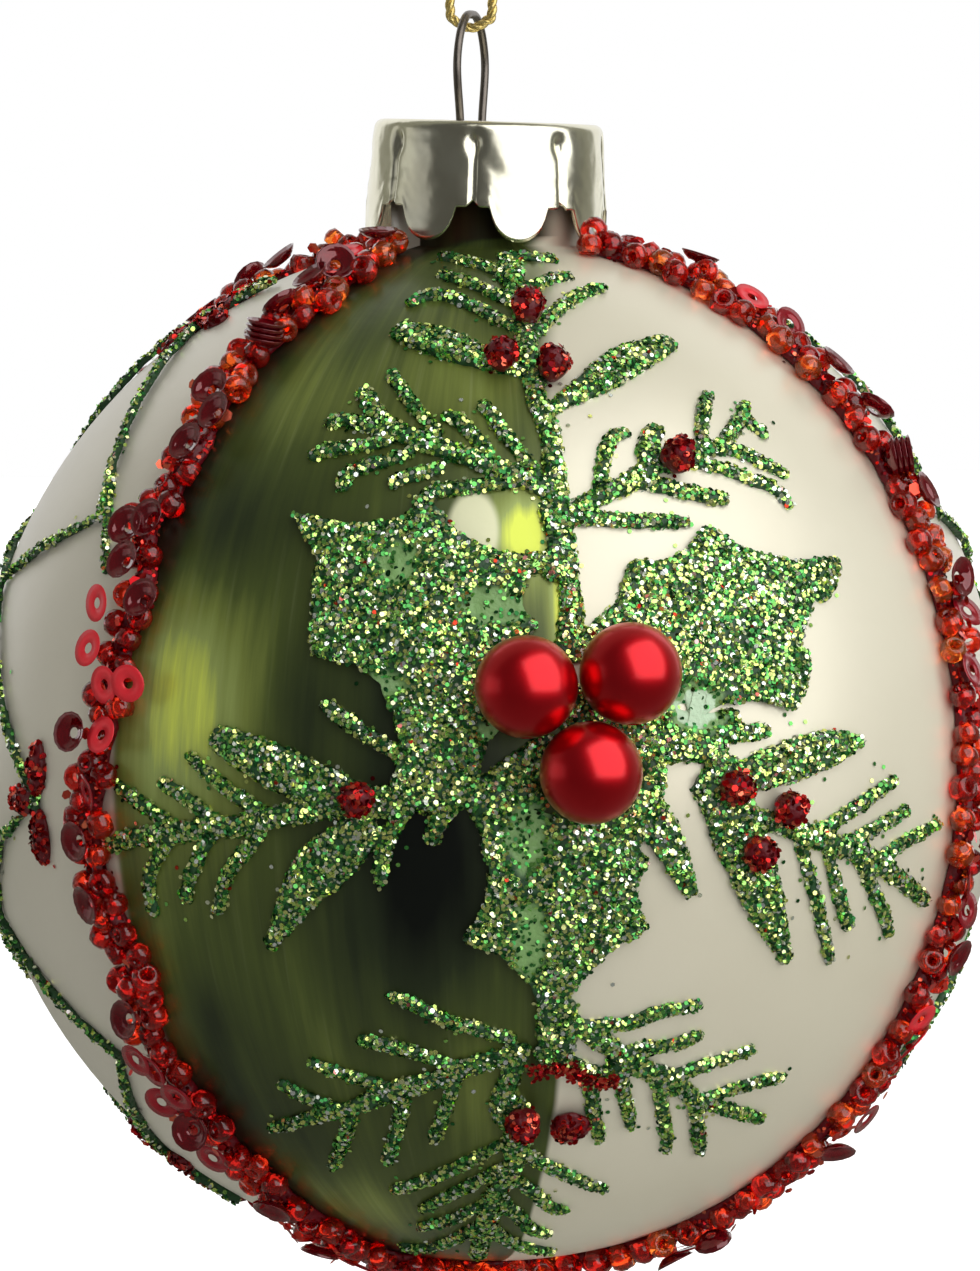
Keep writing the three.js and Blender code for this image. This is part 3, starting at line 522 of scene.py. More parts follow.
class Finish(Nodes):
    """A material. Its even values are set on its surface by name, and vary gives it varying ones."""

    def __init__(self, name, **surface):
        self.material = bpy.data.materials.new(name)
        self.material.use_nodes = True
        super().__init__(self.material.node_tree)
        self.surface = self.tree.nodes["Principled BSDF"]
        for key, value in surface.items():
            self.vary(key.replace("_", " ").title().replace("Ior", "IOR"), value)

    def vary(self, name, value):
        self.feed(self.surface.inputs[name], value)

    def clouded(self, cloud, dark, light, roughness, spread):
        """Lets colour and roughness follow one noise."""
        self.vary("Base Color", self.mix(cloud, dark, light))
        self.vary("Roughness", roughness + spread * cloud)

    def bump(self, height, strength, distance):
        values = {"Strength": strength, "Distance": distance, "Height": height}
        self.vary("Normal", self.add("ShaderNodeBump", None, values))


# Finishes of the glass ball

def blob(lon, lat, centre, size):
    """A soft spot of brushed paint around a place."""
    across = (lon - centre[0]) / size[0]
    along = (lat - centre[1]) / size[1]
    return (-(across * across) - along * along).math("EXPONENT")


def brushed_green(paint, lon, lat, from_line):
    """The streaky green of the painted half, brushed from the cap down to the foot. Its light and dark are
    partly painted reflection of the left lamp and painted shade.
    """
    fine = paint.grain(paint.joined(lon * 0.8, lat * 0.045, 0.0), 1.0, 4.0, 0.6)
    broad = paint.grain(paint.joined(lon * 0.15, lat * 0.03, 3.0), 1.0, 2.0)
    shaded = lat.step(8, 24) + lat.falling(-28, -42)
    # Painted shadow and reflection of the bead line: the green is made darker close beside the line at
    # these latitudes.
    light = 0.42 + 0.34 * (broad - 0.5) - 0.30 * from_line.falling(4.6, 1.8) * shaded
    # The spots add brushed tone, and also painted reflection of the left lamp and painted shade.
    for amount, middle, size in GREEN_TONE_AND_PAINTED_LIGHT:
        light = light + amount * blob(lon, lat, middle, size)
    green = paint.ramp(
        light + (0.10 + 0.30 * light) * (fine - 0.5),
        (0.0, (0.003, 0.005, 0.003)),
        (0.22, (0.020, 0.030, 0.010)),
        (0.45, (0.066, 0.090, 0.018)),
        (0.65, (0.17, 0.21, 0.042)),
        (0.82, (0.26, 0.32, 0.085)),
        (1.0, (0.62, 0.70, 0.080)),
    )
    thread = paint.grain(paint.joined(lon * 1.1, lat * 0.03, 8.0), 1.0, 3.0)
    green = paint.mix(thread.step(0.56, 0.80) * light.step(0.2, 0.7) * 0.22, green, (0.36, 0.40, 0.20))
    cream = blob(lon, lat, (-11.4, 28.0), (3.3, 5.0)).step(0.30, 0.55)
    return paint.mix(cream, green, (0.62, 0.62, 0.40))


def ball_paint():
    """Satin pearl lacquer over silvered glass, with a green half in each medallion."""
    paint = Finish("ball_paint", metallic=0.33, specular_ior_level=0.5)
    values = {
        "Vector": paint.place(),
        "Location": tuple(-BALL_CENTRE / BALL_RADIUS),
        "Scale": (1 / BALL_RADIUS,) * 3,
    }
    out = paint.add("ShaderNodeMapping", None, values)
    x, y, z = paint.parts(out)
    lon = (x.math("ARCTAN2", -y) * math.degrees(1)).math("WRAP", 90.0, -90.0)
    lat = z.math("ARCSINE") * math.degrees(1)
    level = (1 - z * z).math("SQRT")
    from_line = abs(abs(lon) - MEDALLION_HALF_ANGLE) * level * math.radians(BALL_RADIUS / MM)

    pearl = paint.ramp(
        paint.grain(out, 1.4, 2.0),
        (0.3, (0.66, 0.615, 0.475)),
        (0.7, (0.74, 0.70, 0.56)),
    )
    high = ((lat - 42) / 33).math("MAXIMUM", 0.0)
    edge = -0.8 + 14 * high * high
    painted = ((edge - lon + 1.2 * (paint.grain(out, 3.0) - 0.5)) / (0.5 + 6 * high)).step(-1.0, 1.0)
    inside = (lon + MEDALLION_HALF_ANGLE).step(-0.5, 0.5)
    colour = paint.mix(painted * inside, pearl, brushed_green(paint, lon, lat, from_line))

    # Painted shade: the side panels are painted greyer and darker than the front, standing in for the
    # shade on the sides.
    side = (abs(lon) - MEDALLION_HALF_ANGLE).step(-1.0, 1.0)
    colour = paint.mix(side * 0.7, colour, (0.56, 0.53, 0.45))
    # Painted red glow beside each bead line: the red light of the beads painted onto the paint, weaker on
    # the green half.
    painted_bead_glow = from_line.falling(3.9, 1.9) * (0.5 + paint.grain(out, 9.0, 3.0).step(0.4, 0.75))
    colour = paint.mix(painted_bead_glow * (0.30 - 0.26 * painted), colour, (0.50, 0.075, 0.045))
    paint.vary("Base Color", colour)

    smear = paint.grain(out, 22.0, 4.0)
    paint.vary("Roughness", 0.34 + 0.07 * smear - 0.05 * (painted * inside))
    paint.bump(smear, 0.05, 0.0004)
    return paint.material


def scaled(colour, amount):
    return tuple(amount * part for part in colour)


def leaf_glue(name, dark, leaf, bare_leaf):
    """Glitter glue, dark between its flakes, with the painted leaf under thin glitter and under none."""
    glue = Finish(name, specular_ior_level=0.35)
    grain = glue.grain(glue.place(), 2600.0, 3.0)
    streak = glue.grain(glue.place(), 420.0, 3.0)
    bare = glue.attribute("bare")
    deep = glue.mix(grain, dark, scaled(dark, 2.6))
    thin = glue.mix(streak, scaled(leaf, 0.7), leaf)
    open_leaf = glue.mix(streak, scaled(bare_leaf, 0.85), bare_leaf)
    painted = glue.mix(bare.step(0.88, 0.98), thin, open_leaf)
    glue.vary("Base Color", glue.mix(bare.step(0.1, 0.75), deep, painted))
    glue.vary("Roughness", 0.22 + 0.3 * grain)
    glue.bump(grain, 0.6, 0.0002)
    return glue.material


def flake_foil(name, *stops):
    """Metallised film, each flake with its own colour."""
    foil = Finish(name, metallic=0.9)
    own = foil.attribute("own")
    foil.vary("Base Color", foil.ramp(own, *stops))
    foil.vary("Roughness", 0.10 + 0.22 * foil.grain(foil.place(), 3000.0))
    return foil.material


GREEN_STOPS = (
    (0.0, (0.014, 0.070, 0.020)),
    (0.14, (0.040, 0.24, 0.060)),
    (0.32, (0.16, 0.58, 0.13)),
    (0.50, (0.50, 0.86, 0.20)),
    (0.66, (0.92, 0.98, 0.27)),
    (0.80, (0.95, 1.0, 0.46)),
    (0.90, (0.93, 1.0, 0.86)),
    (0.993, (0.95, 1.0, 0.98)),
    (0.995, (0.60, 0.05, 0.02)),
)
RED_STOPS = (
    (0.0, (0.12, 0.002, 0.005)),
    (0.4, (0.42, 0.006, 0.010)),
    (0.75, (0.85, 0.04, 0.03)),
    (1.0, (1.0, 0.24, 0.13)),
)


def bead_glass():
    """Clear red seed bead glass. Each bead leans to wine or to amber in its own measure, which is darkened
    low on the left lines as painted shade.
    """
    glass = Finish("bead_glass", roughness=0.02, transmission_weight=0.9, ior=1.6)
    glass.vary("Base Color", glass.ramp(
        glass.attribute("own"),
        (0.0, (0.42, 0.006, 0.007)),
        (0.35, (0.72, 0.020, 0.009)),
        (0.72, (0.92, 0.075, 0.013)),
        (1.0, (1.0, 0.25, 0.030)),
    ))
    return glass.material


def shiny(name, dark, light, roughness, metallic, coat, clear=0.0):
    """Thin coloured metal or film, clouded a little between two tones."""
    skin = Finish(
        name, metallic=metallic, coat_weight=coat, coat_roughness=0.04, transmission_weight=clear,
    )
    cloud = skin.grain(skin.place(), 700.0, 3.0)
    skin.clouded(cloud, dark, light, roughness, 0.12)
    skin.bump(cloud, 0.1, 0.0001)
    return skin.material


def pearl_coat():
    """Red pearl lacquer on a round bead: a soft deep glow under a sharp clear coat."""
    coat = Finish("pearl_coat", metallic=0.95, coat_weight=0.55, coat_roughness=0.2, coat_ior=1.5)
    cloud = coat.grain(coat.place(), 260.0, 3.0)
    coat.clouded(cloud, (0.62, 0.002, 0.008), (0.76, 0.004, 0.013), 0.31, 0.06)
    coat.bump(coat.grain(coat.place(), 1500.0, 2.0), 0.03, 0.0001)
    return coat.material


def cap_metal():
    """Thin plated tin, champagne in tint, with tarnish clouded over it at random."""
    metal = Finish("cap_metal", metallic=1.0)
    cloud = metal.grain(metal.place(), 240.0, 4.0)
    metal.vary("Base Color", metal.mix(cloud.step(0.35, 0.75), (0.76, 0.73, 0.57), (0.88, 0.86, 0.70)))
    metal.vary("Roughness", 0.17 + 0.12 * cloud)
    metal.bump(metal.grain(metal.place(), 420.0, 2.0), 0.25, 0.0003)
    return metal.material


def wire_metal():
    """Dark drawn spring wire."""
    metal = Finish("wire_metal", metallic=1.0)
    x, y, z = metal.parts(metal.place())
    drawn = metal.grain(metal.joined(x * 5000, y * 5000, z * 400), 1.0, 3.0)
    metal.clouded(drawn, (0.10, 0.085, 0.075), (0.26, 0.23, 0.20), 0.26, 0.2)
    return metal.material


def gold_yarn():
    """Metallic gold yarn."""
    yarn = Finish("gold_yarn", metallic=0.9)
    thread = yarn.grain(yarn.place(), 4200.0, 3.0)
    yarn.clouded(thread, (0.52, 0.36, 0.07), (1.0, 0.82, 0.36), 0.2, 0.3)
    yarn.bump(thread, 0.5, 0.0001)
    return yarn.material


BALL_PAINT = ball_paint()
GREEN_GLUE = leaf_glue("green_glue", (0.010, 0.034, 0.012), (0.20, 0.36, 0.12), (0.46, 0.62, 0.42))
RED_GLUE = leaf_glue("red_glue", (0.055, 0.001, 0.003), (0.2, 0.01, 0.01), (0.2, 0.01, 0.01))
GREEN_FOIL = flake_foil("green_foil", *GREEN_STOPS)
RED_FOIL = flake_foil("red_foil", *RED_STOPS)
BEAD_GLASS = bead_glass()
BEAD_SILVER = shiny("bead_silver", (0.95, 0.86, 0.74), (1.0, 0.96, 0.90), 0.30, 1.0, 0.0)
CUP_FILM = shiny("cup_film", (0.08, 0.001, 0.004), (0.28, 0.003, 0.010), 0.02, 0.25, 0.8, 0.5)
CORAL_FILM = shiny("coral_film", (0.60, 0.014, 0.024), (0.78, 0.026, 0.038), 0.30, 0.25, 0.1)
WINE_FILM = shiny("wine_film", (0.17, 0.002, 0.008), (0.34, 0.007, 0.016), 0.12, 0.35, 0.4)
PEARL_COAT = pearl_coat()
CAP_METAL = cap_metal()
WIRE_METAL = wire_metal()
GOLD_YARN = gold_yarn()


# Ways of making pieces

def linked(name, data):
    """An object in the scene for a mesh, a curve, a lamp or a camera."""
    obj = bpy.data.objects.new(name, data)
    bpy.context.scene.collection.objects.link(obj)
    return obj


def mesh_data(name, mesh):
    """The mesh of a bmesh, which goes."""
    data = bpy.data.meshes.new(name)
    mesh.to_mesh(data)
    mesh.free()
    return data


def finished(name, data, body, *finishes, replaced=(), slot=None):
    """A smooth piece that rides on a body."""
    data.materials.clear()
    for finish in finishes:
        data.materials.append(finish)
    data.shade_smooth()
    obj = linked(name, data)
    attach(obj, body)
    if replaced:
        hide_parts(*replaced)
    return obj


def tidy(mesh):
    """Joins doubled corners and turns the faces outward."""
    bmesh.ops.remove_doubles(mesh, verts=mesh.verts, dist=1e-7)
    bmesh.ops.recalc_face_normals(mesh, faces=mesh.faces)
    return mesh


def spun(profile, steps, closed):
    """A shape turned about Z from a profile of radii and heights."""
    mesh = bmesh.new()
    verts = [mesh.verts.new((radius, 0, height)) for radius, height in profile]
    pairs = list(zip(verts, verts[1:])) + ([(verts[-1], verts[0])] if closed else [])
    edges = [mesh.edges.new(pair) for pair in pairs]
    bmesh.ops.spin(
        mesh, geom=verts + edges, axis=(0, 0, 1), cent=(0, 0, 0), steps=steps, angle=math.tau,
        use_merge=True,
    )
    return tidy(mesh)


def stamped_piece(name, shapes, *finishes):
    """A piece on the ball made of many copies. Each face of a copy holds the copy's own value."""
    whole = bmesh.new()
    values = []
    for shape, matrix, value in shapes:
        shape.transform(matrix)
        whole.from_mesh(shape)
        shape.transform(matrix.inverted())
        values.extend([value] * len(shape.polygons))
    data = mesh_data(name, whole)
    data.attributes.new("own", "FLOAT", "FACE").data.foreach_set("value", values)
    finished(name, data, "ball", *finishes)


def applied(obj):
    """The mesh of an object with its modifiers applied, or of a curve. The object itself goes."""
    graph = bpy.context.evaluated_depsgraph_get()
    data = bpy.data.meshes.new_from_object(obj.evaluated_get(graph))
    bpy.data.objects.remove(obj)
    return data


def scratch_object(mesh):
    """An object that only carries a modifier."""
    return linked("scratch", mesh_data("scratch", mesh))


def centre_of(node):
    """The middle of a node's corners."""
    points = [vertex.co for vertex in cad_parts[node].data.vertices]
    return sum(points, Vector()) / len(points)


def curve_through(points, steps):
    """Points along a smooth line through the given ones."""
    ends = [2 * points[0] - points[1], *points, 2 * points[-1] - points[-2]]
    line = []
    for before, start, end, after in zip(ends, ends[1:], ends[2:], ends[3:]):
        for i in range(steps):
            t = i / steps
            line.append(0.5 * (
                2 * start + (end - before) * t + (2 * before - 5 * start + 4 * end - after) * t * t
                + (3 * start - before - 3 * end + after) * t * t * t
            ))
    return [*line, points[-1]]


def tube(lines, radius, resolution, widths=None):
    """Round bars along lines, as one mesh. Widths, if given, multiply the radius point by point."""
    curve = bpy.data.curves.new("bar", "CURVE")
    curve.dimensions = "3D"
    curve.bevel_depth = radius
    curve.bevel_resolution = resolution
    curve.use_fill_caps = True
    for number, line in enumerate(lines):
        spline = curve.splines.new("POLY")
        spline.points.add(len(line) - 1)
        for i, (point, place) in enumerate(zip(spline.points, line)):
            point.co = (*place, 1)
            point.radius = widths[number][i] if widths else 1
    return applied(linked("bar", curve))


# The camera and the cord come first

def photograph_camera():
    """The photograph's view: nearly level, a little left of the front, from well back."""
    azimuth, elevation, distance = math.radians(CAMERA_AZIMUTH), math.radians(4.5), 0.6
    image_width, image_height = 980, 1271
    ball_pixels, ball_centre_pixel = 513, (489, 748)
    focal_pixels = ball_pixels / math.tan(math.asin(BALL_RADIUS / distance))
    back = Vector((
        math.sin(azimuth) * math.cos(elevation),
        -math.cos(azimuth) * math.cos(elevation),
        math.sin(elevation),
    ))
    data = bpy.data.cameras.new("camera")
    data.sensor_fit = "VERTICAL"
    data.sensor_height = data.sensor_width = 36
    data.lens = focal_pixels / image_height * data.sensor_height
    data.shift_x = (image_width / 2 - ball_centre_pixel[0]) / image_height
    data.shift_y = (ball_centre_pixel[1] - image_height / 2) / image_height
    data.clip_start = 0.01
    camera = linked("camera", data)
    camera.location = BALL_CENTRE + back * distance
    camera.rotation_mode = "QUATERNION"
    camera.rotation_quaternion = (-back).to_track_quat("-Z", "Y")
    bpy.context.scene.camera = camera


def across_the_eye():
    """The level direction in which the cord passes through the hanger's eye."""
    turn = math.radians(HANGER_TURN)
    return Vector((math.cos(turn), math.sin(turn), 0))


def leg_direction():
    """The level direction from the middle of the hanger to one of its legs."""
    turn = math.radians(HANGER_TURN)
    return Vector((math.sin(turn), -math.cos(turn), 0))


def hanging_cord():
    """Three strands laid round each other, down through the eye and back up to the knot."""
    strands, lay, strand_radius = 3, 2.2 * MM, 0.215 * MM
    chosen = [across_the_eye() * out * MM + Vector((0, 0, up * MM)) for out, up in CORD_ROUTE]
    route = curve_through(chosen, 24)
    side = leg_direction()
    lines = [[] for _ in range(strands)]
    run = 0.0
    for i, point in enumerate(route):
        ahead = (route[min(i + 1, len(route) - 1)] - route[max(i - 1, 0)]).normalized()
        run += (point - route[max(i - 1, 0)]).length
        other = ahead.cross(side).normalized()
        for strand, line in enumerate(lines):
            angle = math.tau * (run / lay + strand / strands)
            out = side * math.cos(angle) + other * math.sin(angle)
            line.append(point + out * (CORD_DIAMETER / 2 - strand_radius))
    cord = finished(
        "gold_cord", tube(lines, strand_radius, 2), "cord", GOLD_YARN,
        replaced=["hanging_cord"], slot="gold_cord",
    )
    knot = cord_knot()


def cord_knot():
    """An overhand knot of both strands with a turn round its foot, and two frayed tails."""
    low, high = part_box("cord_knot")
    width, height, yarn_radius = high.y - low.y, 3.0 * MM, 0.36 * MM
    loop_size, collar_radius = width * 0.8, width * 0.26
    steps = 48
    loop, collar = [], []
    for i in range(steps + 1):
        t = math.tau * i / steps
        x = (math.sin(t) + 2 * math.sin(2 * t)) / 6
        y = (math.cos(t) - 2 * math.cos(2 * t)) / 6
        up = height * (0.46 - 0.24 * math.sin(3 * t))
        loop.append(Vector((x * loop_size, y * loop_size, up)))
        collar.append(Vector((math.cos(t) * collar_radius, math.sin(t) * collar_radius, 0.03 * height)))
    ends = []
    for sign in (1, -1):
        foot = across_the_eye() * sign * 0.4 * MM
        inside = foot * 0.8 + Vector((0, 0, height * 0.5))
        ends.append(curve_through([foot - Vector((0, 0, 0.2 * MM)), inside], 6))
        for strand in (-1, 0, 1):
            foot = Vector((sign * 0.35 * MM, strand * 0.2 * MM, height * 0.6))
            tip = Vector((sign * 1.25 * MM + strand * 0.15 * MM, strand * 0.3 * MM, high.z - 0.3 * MM))
            bow = foot.lerp(tip, 0.55) + Vector((sign * 0.2 * MM, strand * 0.1 * MM, 0))
            ends.append(curve_through([foot, bow, tip], 8))
    data = tube([loop, collar, *ends], yarn_radius, 3)
    return finished("cord_knot_yarn", data, "knot", GOLD_YARN, replaced=["cord_knot"], slot="gold_cord")


photograph_camera()
hanging_cord()


# The glass, the cap and the wire

def glass_ball():
    """The blown ball, its short neck with a rolled rim, and the inside of its wall."""
    outer_end = math.pi - math.asin(NECK_RADIUS / BALL_RADIUS)
    inner_radius = BALL_RADIUS - GLASS_WALL
    bore = NECK_RADIUS - NECK_WALL
    inner_end = math.pi - math.asin(bore / inner_radius)
    rim_radius = NECK_WALL / 2
    rim_middle = NECK_TOP - BALL_CENTRE.z - rim_radius

    def arc(radius, start, end, steps):
        angles = [start + (end - start) * i / steps for i in range(steps + 1)]
        return [(max(0.0, radius * math.sin(a)), -radius * math.cos(a)) for a in angles]

    rim = [(bore + rim_radius * (1 + math.cos(a)), rim_middle + rim_radius * math.sin(a))
           for a in [math.pi * i / 8 for i in range(9)]]
    profile = arc(BALL_RADIUS, 0, outer_end, 72) + rim + arc(inner_radius, inner_end, 0, 40)
    mesh = spun(profile, 144, False)
    bmesh.ops.translate(mesh, verts=mesh.verts, vec=BALL_CENTRE)
    data = mesh_data("painted_ball", mesh)
    finished("painted_ball", data, "ball", BALL_PAINT, replaced=["glass_ball"], slot="glass")


def cap_depth(depth, angle):
    """How far down a place on the skirt lies: the skirt ends in a round tongue on each lobe."""
    plain = 3.5 * MM
    half = math.pi / CAP_LOBES
    tongue = half * 0.605
    share = min(1.0, abs(angle) / tongue)
    groove_cut = 0.5 * MM * smooth_step(half * 0.86, half, abs(angle))
    drop = CAP_HEIGHT - TONGUE_LENGTH * (1 - math.sqrt(1 - share * share)) - groove_cut
    if depth <= plain:
        return depth
    return plain + (depth - plain) * (drop - plain) / (CAP_HEIGHT - plain)


def cap_dent(point, angle, depth):
    """How far the pressed sheet leans out at a place: grooves, their dimples, bellied lobes and dents."""
    half = math.pi / CAP_LOBES
    aside = (half - abs(angle)) * CAP_SKIRT_RADIUS / MM
    down = depth / MM
    groove = -0.30 * math.exp(-((aside / 0.17) ** 2)) * smooth_step(0.8, 2.2, down)
    dimple = -0.42 * math.exp(-((aside / 0.55) ** 2) - ((down - 1.7) / 0.75) ** 2)
    belly = 0.14 * math.cos(math.pi * angle / (2 * half)) * smooth_step(0, 2, down)
    hammered = 0.05 * noise.noise(point / (1.8 * MM)) + 0.02 * noise.noise(point / (0.8 * MM))
    return (groove + dimple + belly + hammered * smooth_step(0.3, 1.5, down)) * MM


def leg_holes():
    """Two upright pins where the legs of the wire pass through the cap."""
    pins = bmesh.new()
    for sign in (1, -1):
        at = leg_direction() * sign * LEG_SPACING / 2 + Vector((0, 0, CAP_TOP))
        bmesh.ops.create_cone(
            pins, cap_ends=True, segments=24, radius1=LEG_HOLE / 2, radius2=LEG_HOLE / 2,
            depth=3 * MM, matrix=Matrix.Translation(at),
        )
    return scratch_object(pins)


def crown_cap():
    """Pressed tin: a flat top, a rolled shoulder and a skirt of lobes with hammered dents."""
    edge, bend = CAP_TOP_RADIUS, 0.7 * MM
    top = [(edge * share, 0.0) for share in (0, 0.3, 0.6, 0.8, 0.88)]
    shoulder = [(edge - bend + bend * math.sin(a), bend * (math.cos(a) - 1))
                for a in [math.pi / 2 * i / 6 for i in range(7)]]
    skirt_steps = 26
    skirt = []
    for i in range(1, skirt_steps + 1):
        share = i / skirt_steps
        depth = bend + (CAP_HEIGHT - bend) * share
        skirt.append((edge + (CAP_SKIRT_RADIUS - edge) * share, -depth))
    mesh = spun(top + shoulder + skirt, CAP_LOBES * 28, False)
    for vertex in mesh.verts:
        place = vertex.co.copy()
        radius = math.hypot(place.x, place.y)
        if radius < edge * 0.85:
            vertex.co.z += 0.06 * MM * noise.noise(place / (2.4 * MM))
            continue
        around = math.atan2(place.x, -place.y) - math.radians(CAP_TURN)
        angle = around % (math.tau / CAP_LOBES) - math.pi / CAP_LOBES
        depth = -place.z
        out = Vector((place.x, place.y, 0)).normalized()
        vertex.co = out * (radius + cap_dent(place, angle, depth))
        vertex.co.z = -cap_depth(depth, angle)
    bmesh.ops.recalc_face_normals(mesh, faces=mesh.faces)
    bmesh.ops.solidify(mesh, geom=mesh.faces, thickness=CAP_SHEET * 0.8)
    bmesh.ops.recalc_face_normals(mesh, faces=mesh.faces)
    turn = Matrix.Rotation(math.radians(CAP_TILT), 4, "Y")
    place = Matrix.Translation((BALL_CENTRE.x, BALL_CENTRE.y, CAP_TOP)) @ turn
    bmesh.ops.transform(mesh, matrix=place, verts=mesh.verts)
    cap = scratch_object(mesh)
    cutter = leg_holes()
    cut = cap.modifiers.new("leg_holes", "BOOLEAN")
    cut.operation = "DIFFERENCE"
    cut.object = cutter
    data = applied(cap)
    bpy.data.objects.remove(cutter)
    finished("pressed_cap", data, "hanger", CAP_METAL, replaced=["crown_cap"], slot="cap_metal")


def hanger_wire():
    """Spring wire bent to an eye, with two legs that spread inside the neck."""
    grip = NECK_RADIUS - NECK_WALL - LEG_GAP - WIRE_DIAMETER / 2 - BALL_CENTRE.x
    crown = EYE_HEIGHT - WIRE_DIAMETER / 2
    hole = LEG_SPACING / 2
    side = [
        (grip, -LEG_DEPTH),
        (grip, -LEG_DEPTH / 2),
        (hole, -1.2 * MM),
        (hole, 0.4 * MM),
        (EYE_WIDTH / 2, crown * 0.5),
        (EYE_WIDTH * 0.4, crown * 0.8),
        (EYE_WIDTH * 0.2, crown * 0.97),
    ]
    outline = [*side, (0, crown), *[(-out, up) for out, up in reversed(side)]]
    points = [leg_direction() * out + Vector((0, 0, CAP_TOP + up)) for out, up in outline]
    data = tube([curve_through(points, 12)], WIRE_DIAMETER / 2, 4)
    finished("spring_wire", data, "hanger", WIRE_METAL, replaced=["hanger_wire"], slot="wire")


glass_ball()
crown_cap()
hanger_wire()


# Raised glitter

def bareness(lon, lat):
    """1 where the glitter is thin and the painted leaf shows, and 0 where it is thick."""
    most = 0.0
    for centre_lon, centre_lat, wide, high, gone in BARE_PLACES:
        away = math.hypot((lon - centre_lon) / wide, (lat - centre_lat) / high)
        ragged = 0.35 * noise.noise(Vector((lon, lat, 0)) * 0.6)
        most = max(most, gone * (1 - smooth_step(0.55, 1.25, away + ragged)))
    return most


def flowers(middle):
    """The flowers of a side panel: the ways out, east and north at each, and its petals."""
    for (east, latitude), petals in TRELLIS_FLOWERS:
        out = direction(middle + east, latitude)
        east_way = Vector((0, 0, 1)).cross(out).normalized()
        yield out, east_way, out.cross(east_way), petals


def in_petal(point, middle):
    """Whether a point of a side trellis lies in one of its red petals."""
    for out, east_way, north_way, petals in flowers(middle):
        offset = outward_at(point) * BALL_RADIUS - out * BALL_RADIUS
        across, up = offset.dot(east_way), offset.dot(north_way)
        for right, north in petals:
            along = across * right + up * north
            aside = abs(across * north - up * right)
            if PETAL_START < along < PETAL_START + PETAL_LENGTH and aside < PETAL_WIDTH * 0.62:
                return True
    return False


def copy_of(node):
    """The solid of a node as a mesh whose loose triangles are joined."""
    mesh = bmesh.new()
    mesh.from_mesh(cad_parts[node].data)
    bmesh.ops.remove_doubles(mesh, verts=mesh.verts, dist=1e-6)
    return mesh


def evened(mesh, grain, passes):
    """A solid remade in small even faces and rounded."""
    slab = scratch_object(mesh)
    even = slab.modifiers.new("even", "REMESH")
    even.mode = "VOXEL"
    even.voxel_size = grain
    rounded = slab.modifiers.new("rounded", "SMOOTH")
    rounded.factor = 0.5
    rounded.iterations = passes
    return applied(slab)


def drawn_bars(drawing, turned):
    """Round bars laid on the glass along the strokes of a drawing, or none for one without strokes."""
    strokes = [(*stroke, False) for stroke in DRAWN_LINES.get(drawing, [])]
    strokes += [(*stroke, True) for stroke in DRAWN_LEAVES.get(drawing, [])]
    lines, widths = [], []
    for width, places, leaf in strokes:
        line = curve_through([on_ball(lon + turned, lat, GLUE_LIFT) for lon, lat in places], 6)
        shares = [i / (len(line) - 1) for i in range(len(line))]
        if leaf:
            swell = [max(0.22, math.sin(math.pi * (0.14 + 0.84 * t))) for t in shares]
            widths.append([width * part ** 0.8 for part in swell])
        else:
            widths.append([width * (1 - 0.25 * abs(2 * t - 1) ** 4) for t in shares])
        lines.append(line)
    return tube(lines, 0.5 * MM, 2, widths) if lines else None


def glue_depth(height, thin, lump):
    """How high the glue stands where its drawn bar or slab has a height over the glass."""
    if height < 0:
        return max(height, -0.3 * MM)
    return GLUE_HEIGHT * (1 - math.exp(-height / (0.5 * MM))) * (0.65 + 0.6 * lump) * (1 - 0.6 * thin)


def settled_glue(name, node, finish, slot):
    """The glue of one drawing: its strokes run together, let down on the glass and made lumpy."""
    side, _, drawing = node.partition("_")
    trellis = side == "trellis"
    turned = 180 if side == "back" else 0
    mesh = copy_of(node) if trellis or drawing.startswith("holly") else bmesh.new()
    bars = drawn_bars(drawing, turned)
    if bars:
        mesh.from_mesh(bars)
    data = evened(mesh, GLUE_GRAIN, 2)
    normals = [vertex.normal.copy() for vertex in data.vertices]
    bare = []
    for vertex, normal in zip(data.vertices, normals):
        out = vertex.co - BALL_CENTRE
        height = out.length - BALL_RADIUS - GLUE_LIFT
        out.normalize()
        thin = 0.0 if trellis else bareness(*place_of(vertex.co, turned))
        bare.append(thin)
        sideways = normal - out * normal.dot(out)
        ragged = 0.14 * MM * noise.noise(vertex.co / (0.8 * MM)) + (0.22 * MM if trellis else 0)
        height = glue_depth(height, thin, 0.5 + 0.5 * noise.noise(vertex.co / (0.9 * MM)))
        if trellis and in_petal(vertex.co, -90 if node.endswith("left") else 90):
            height *= 0.3
        vertex.co = BALL_CENTRE + outward_at(vertex.co - sideways * ragged) * (BALL_RADIUS + height)
    data.attributes.new("bare", "FLOAT", "POINT").data.foreach_set("value", bare)
    return finished(name, data, "ball", finish, replaced=[node], slot=slot)


def outer_faces(obj):
    """Corners and normals of the triangles that look out from the ball, with their areas."""
    data = obj.data
    data.calc_loop_triangles()
    faces, areas = [], []
    for triangle in data.loop_triangles:
        corners = [data.vertices[i].co for i in triangle.vertices]
        if triangle.normal.dot(outward_at(corners[0])) > 0.05:
            faces.append((corners, triangle.normal.copy()))
            areas.append(triangle.area)
    return faces, areas


def flake_shape(diameter):
    """A flat six-sided flake."""
    mesh = bmesh.new()
    bmesh.ops.create_circle(mesh, cap_ends=True, segments=6, radius=diameter / 2)
    return mesh_data("flake", mesh)


SMALL_FLAKE = flake_shape(FLAKE_DIAMETER)
LARGE_FLAKE = flake_shape(0.95 * MM)


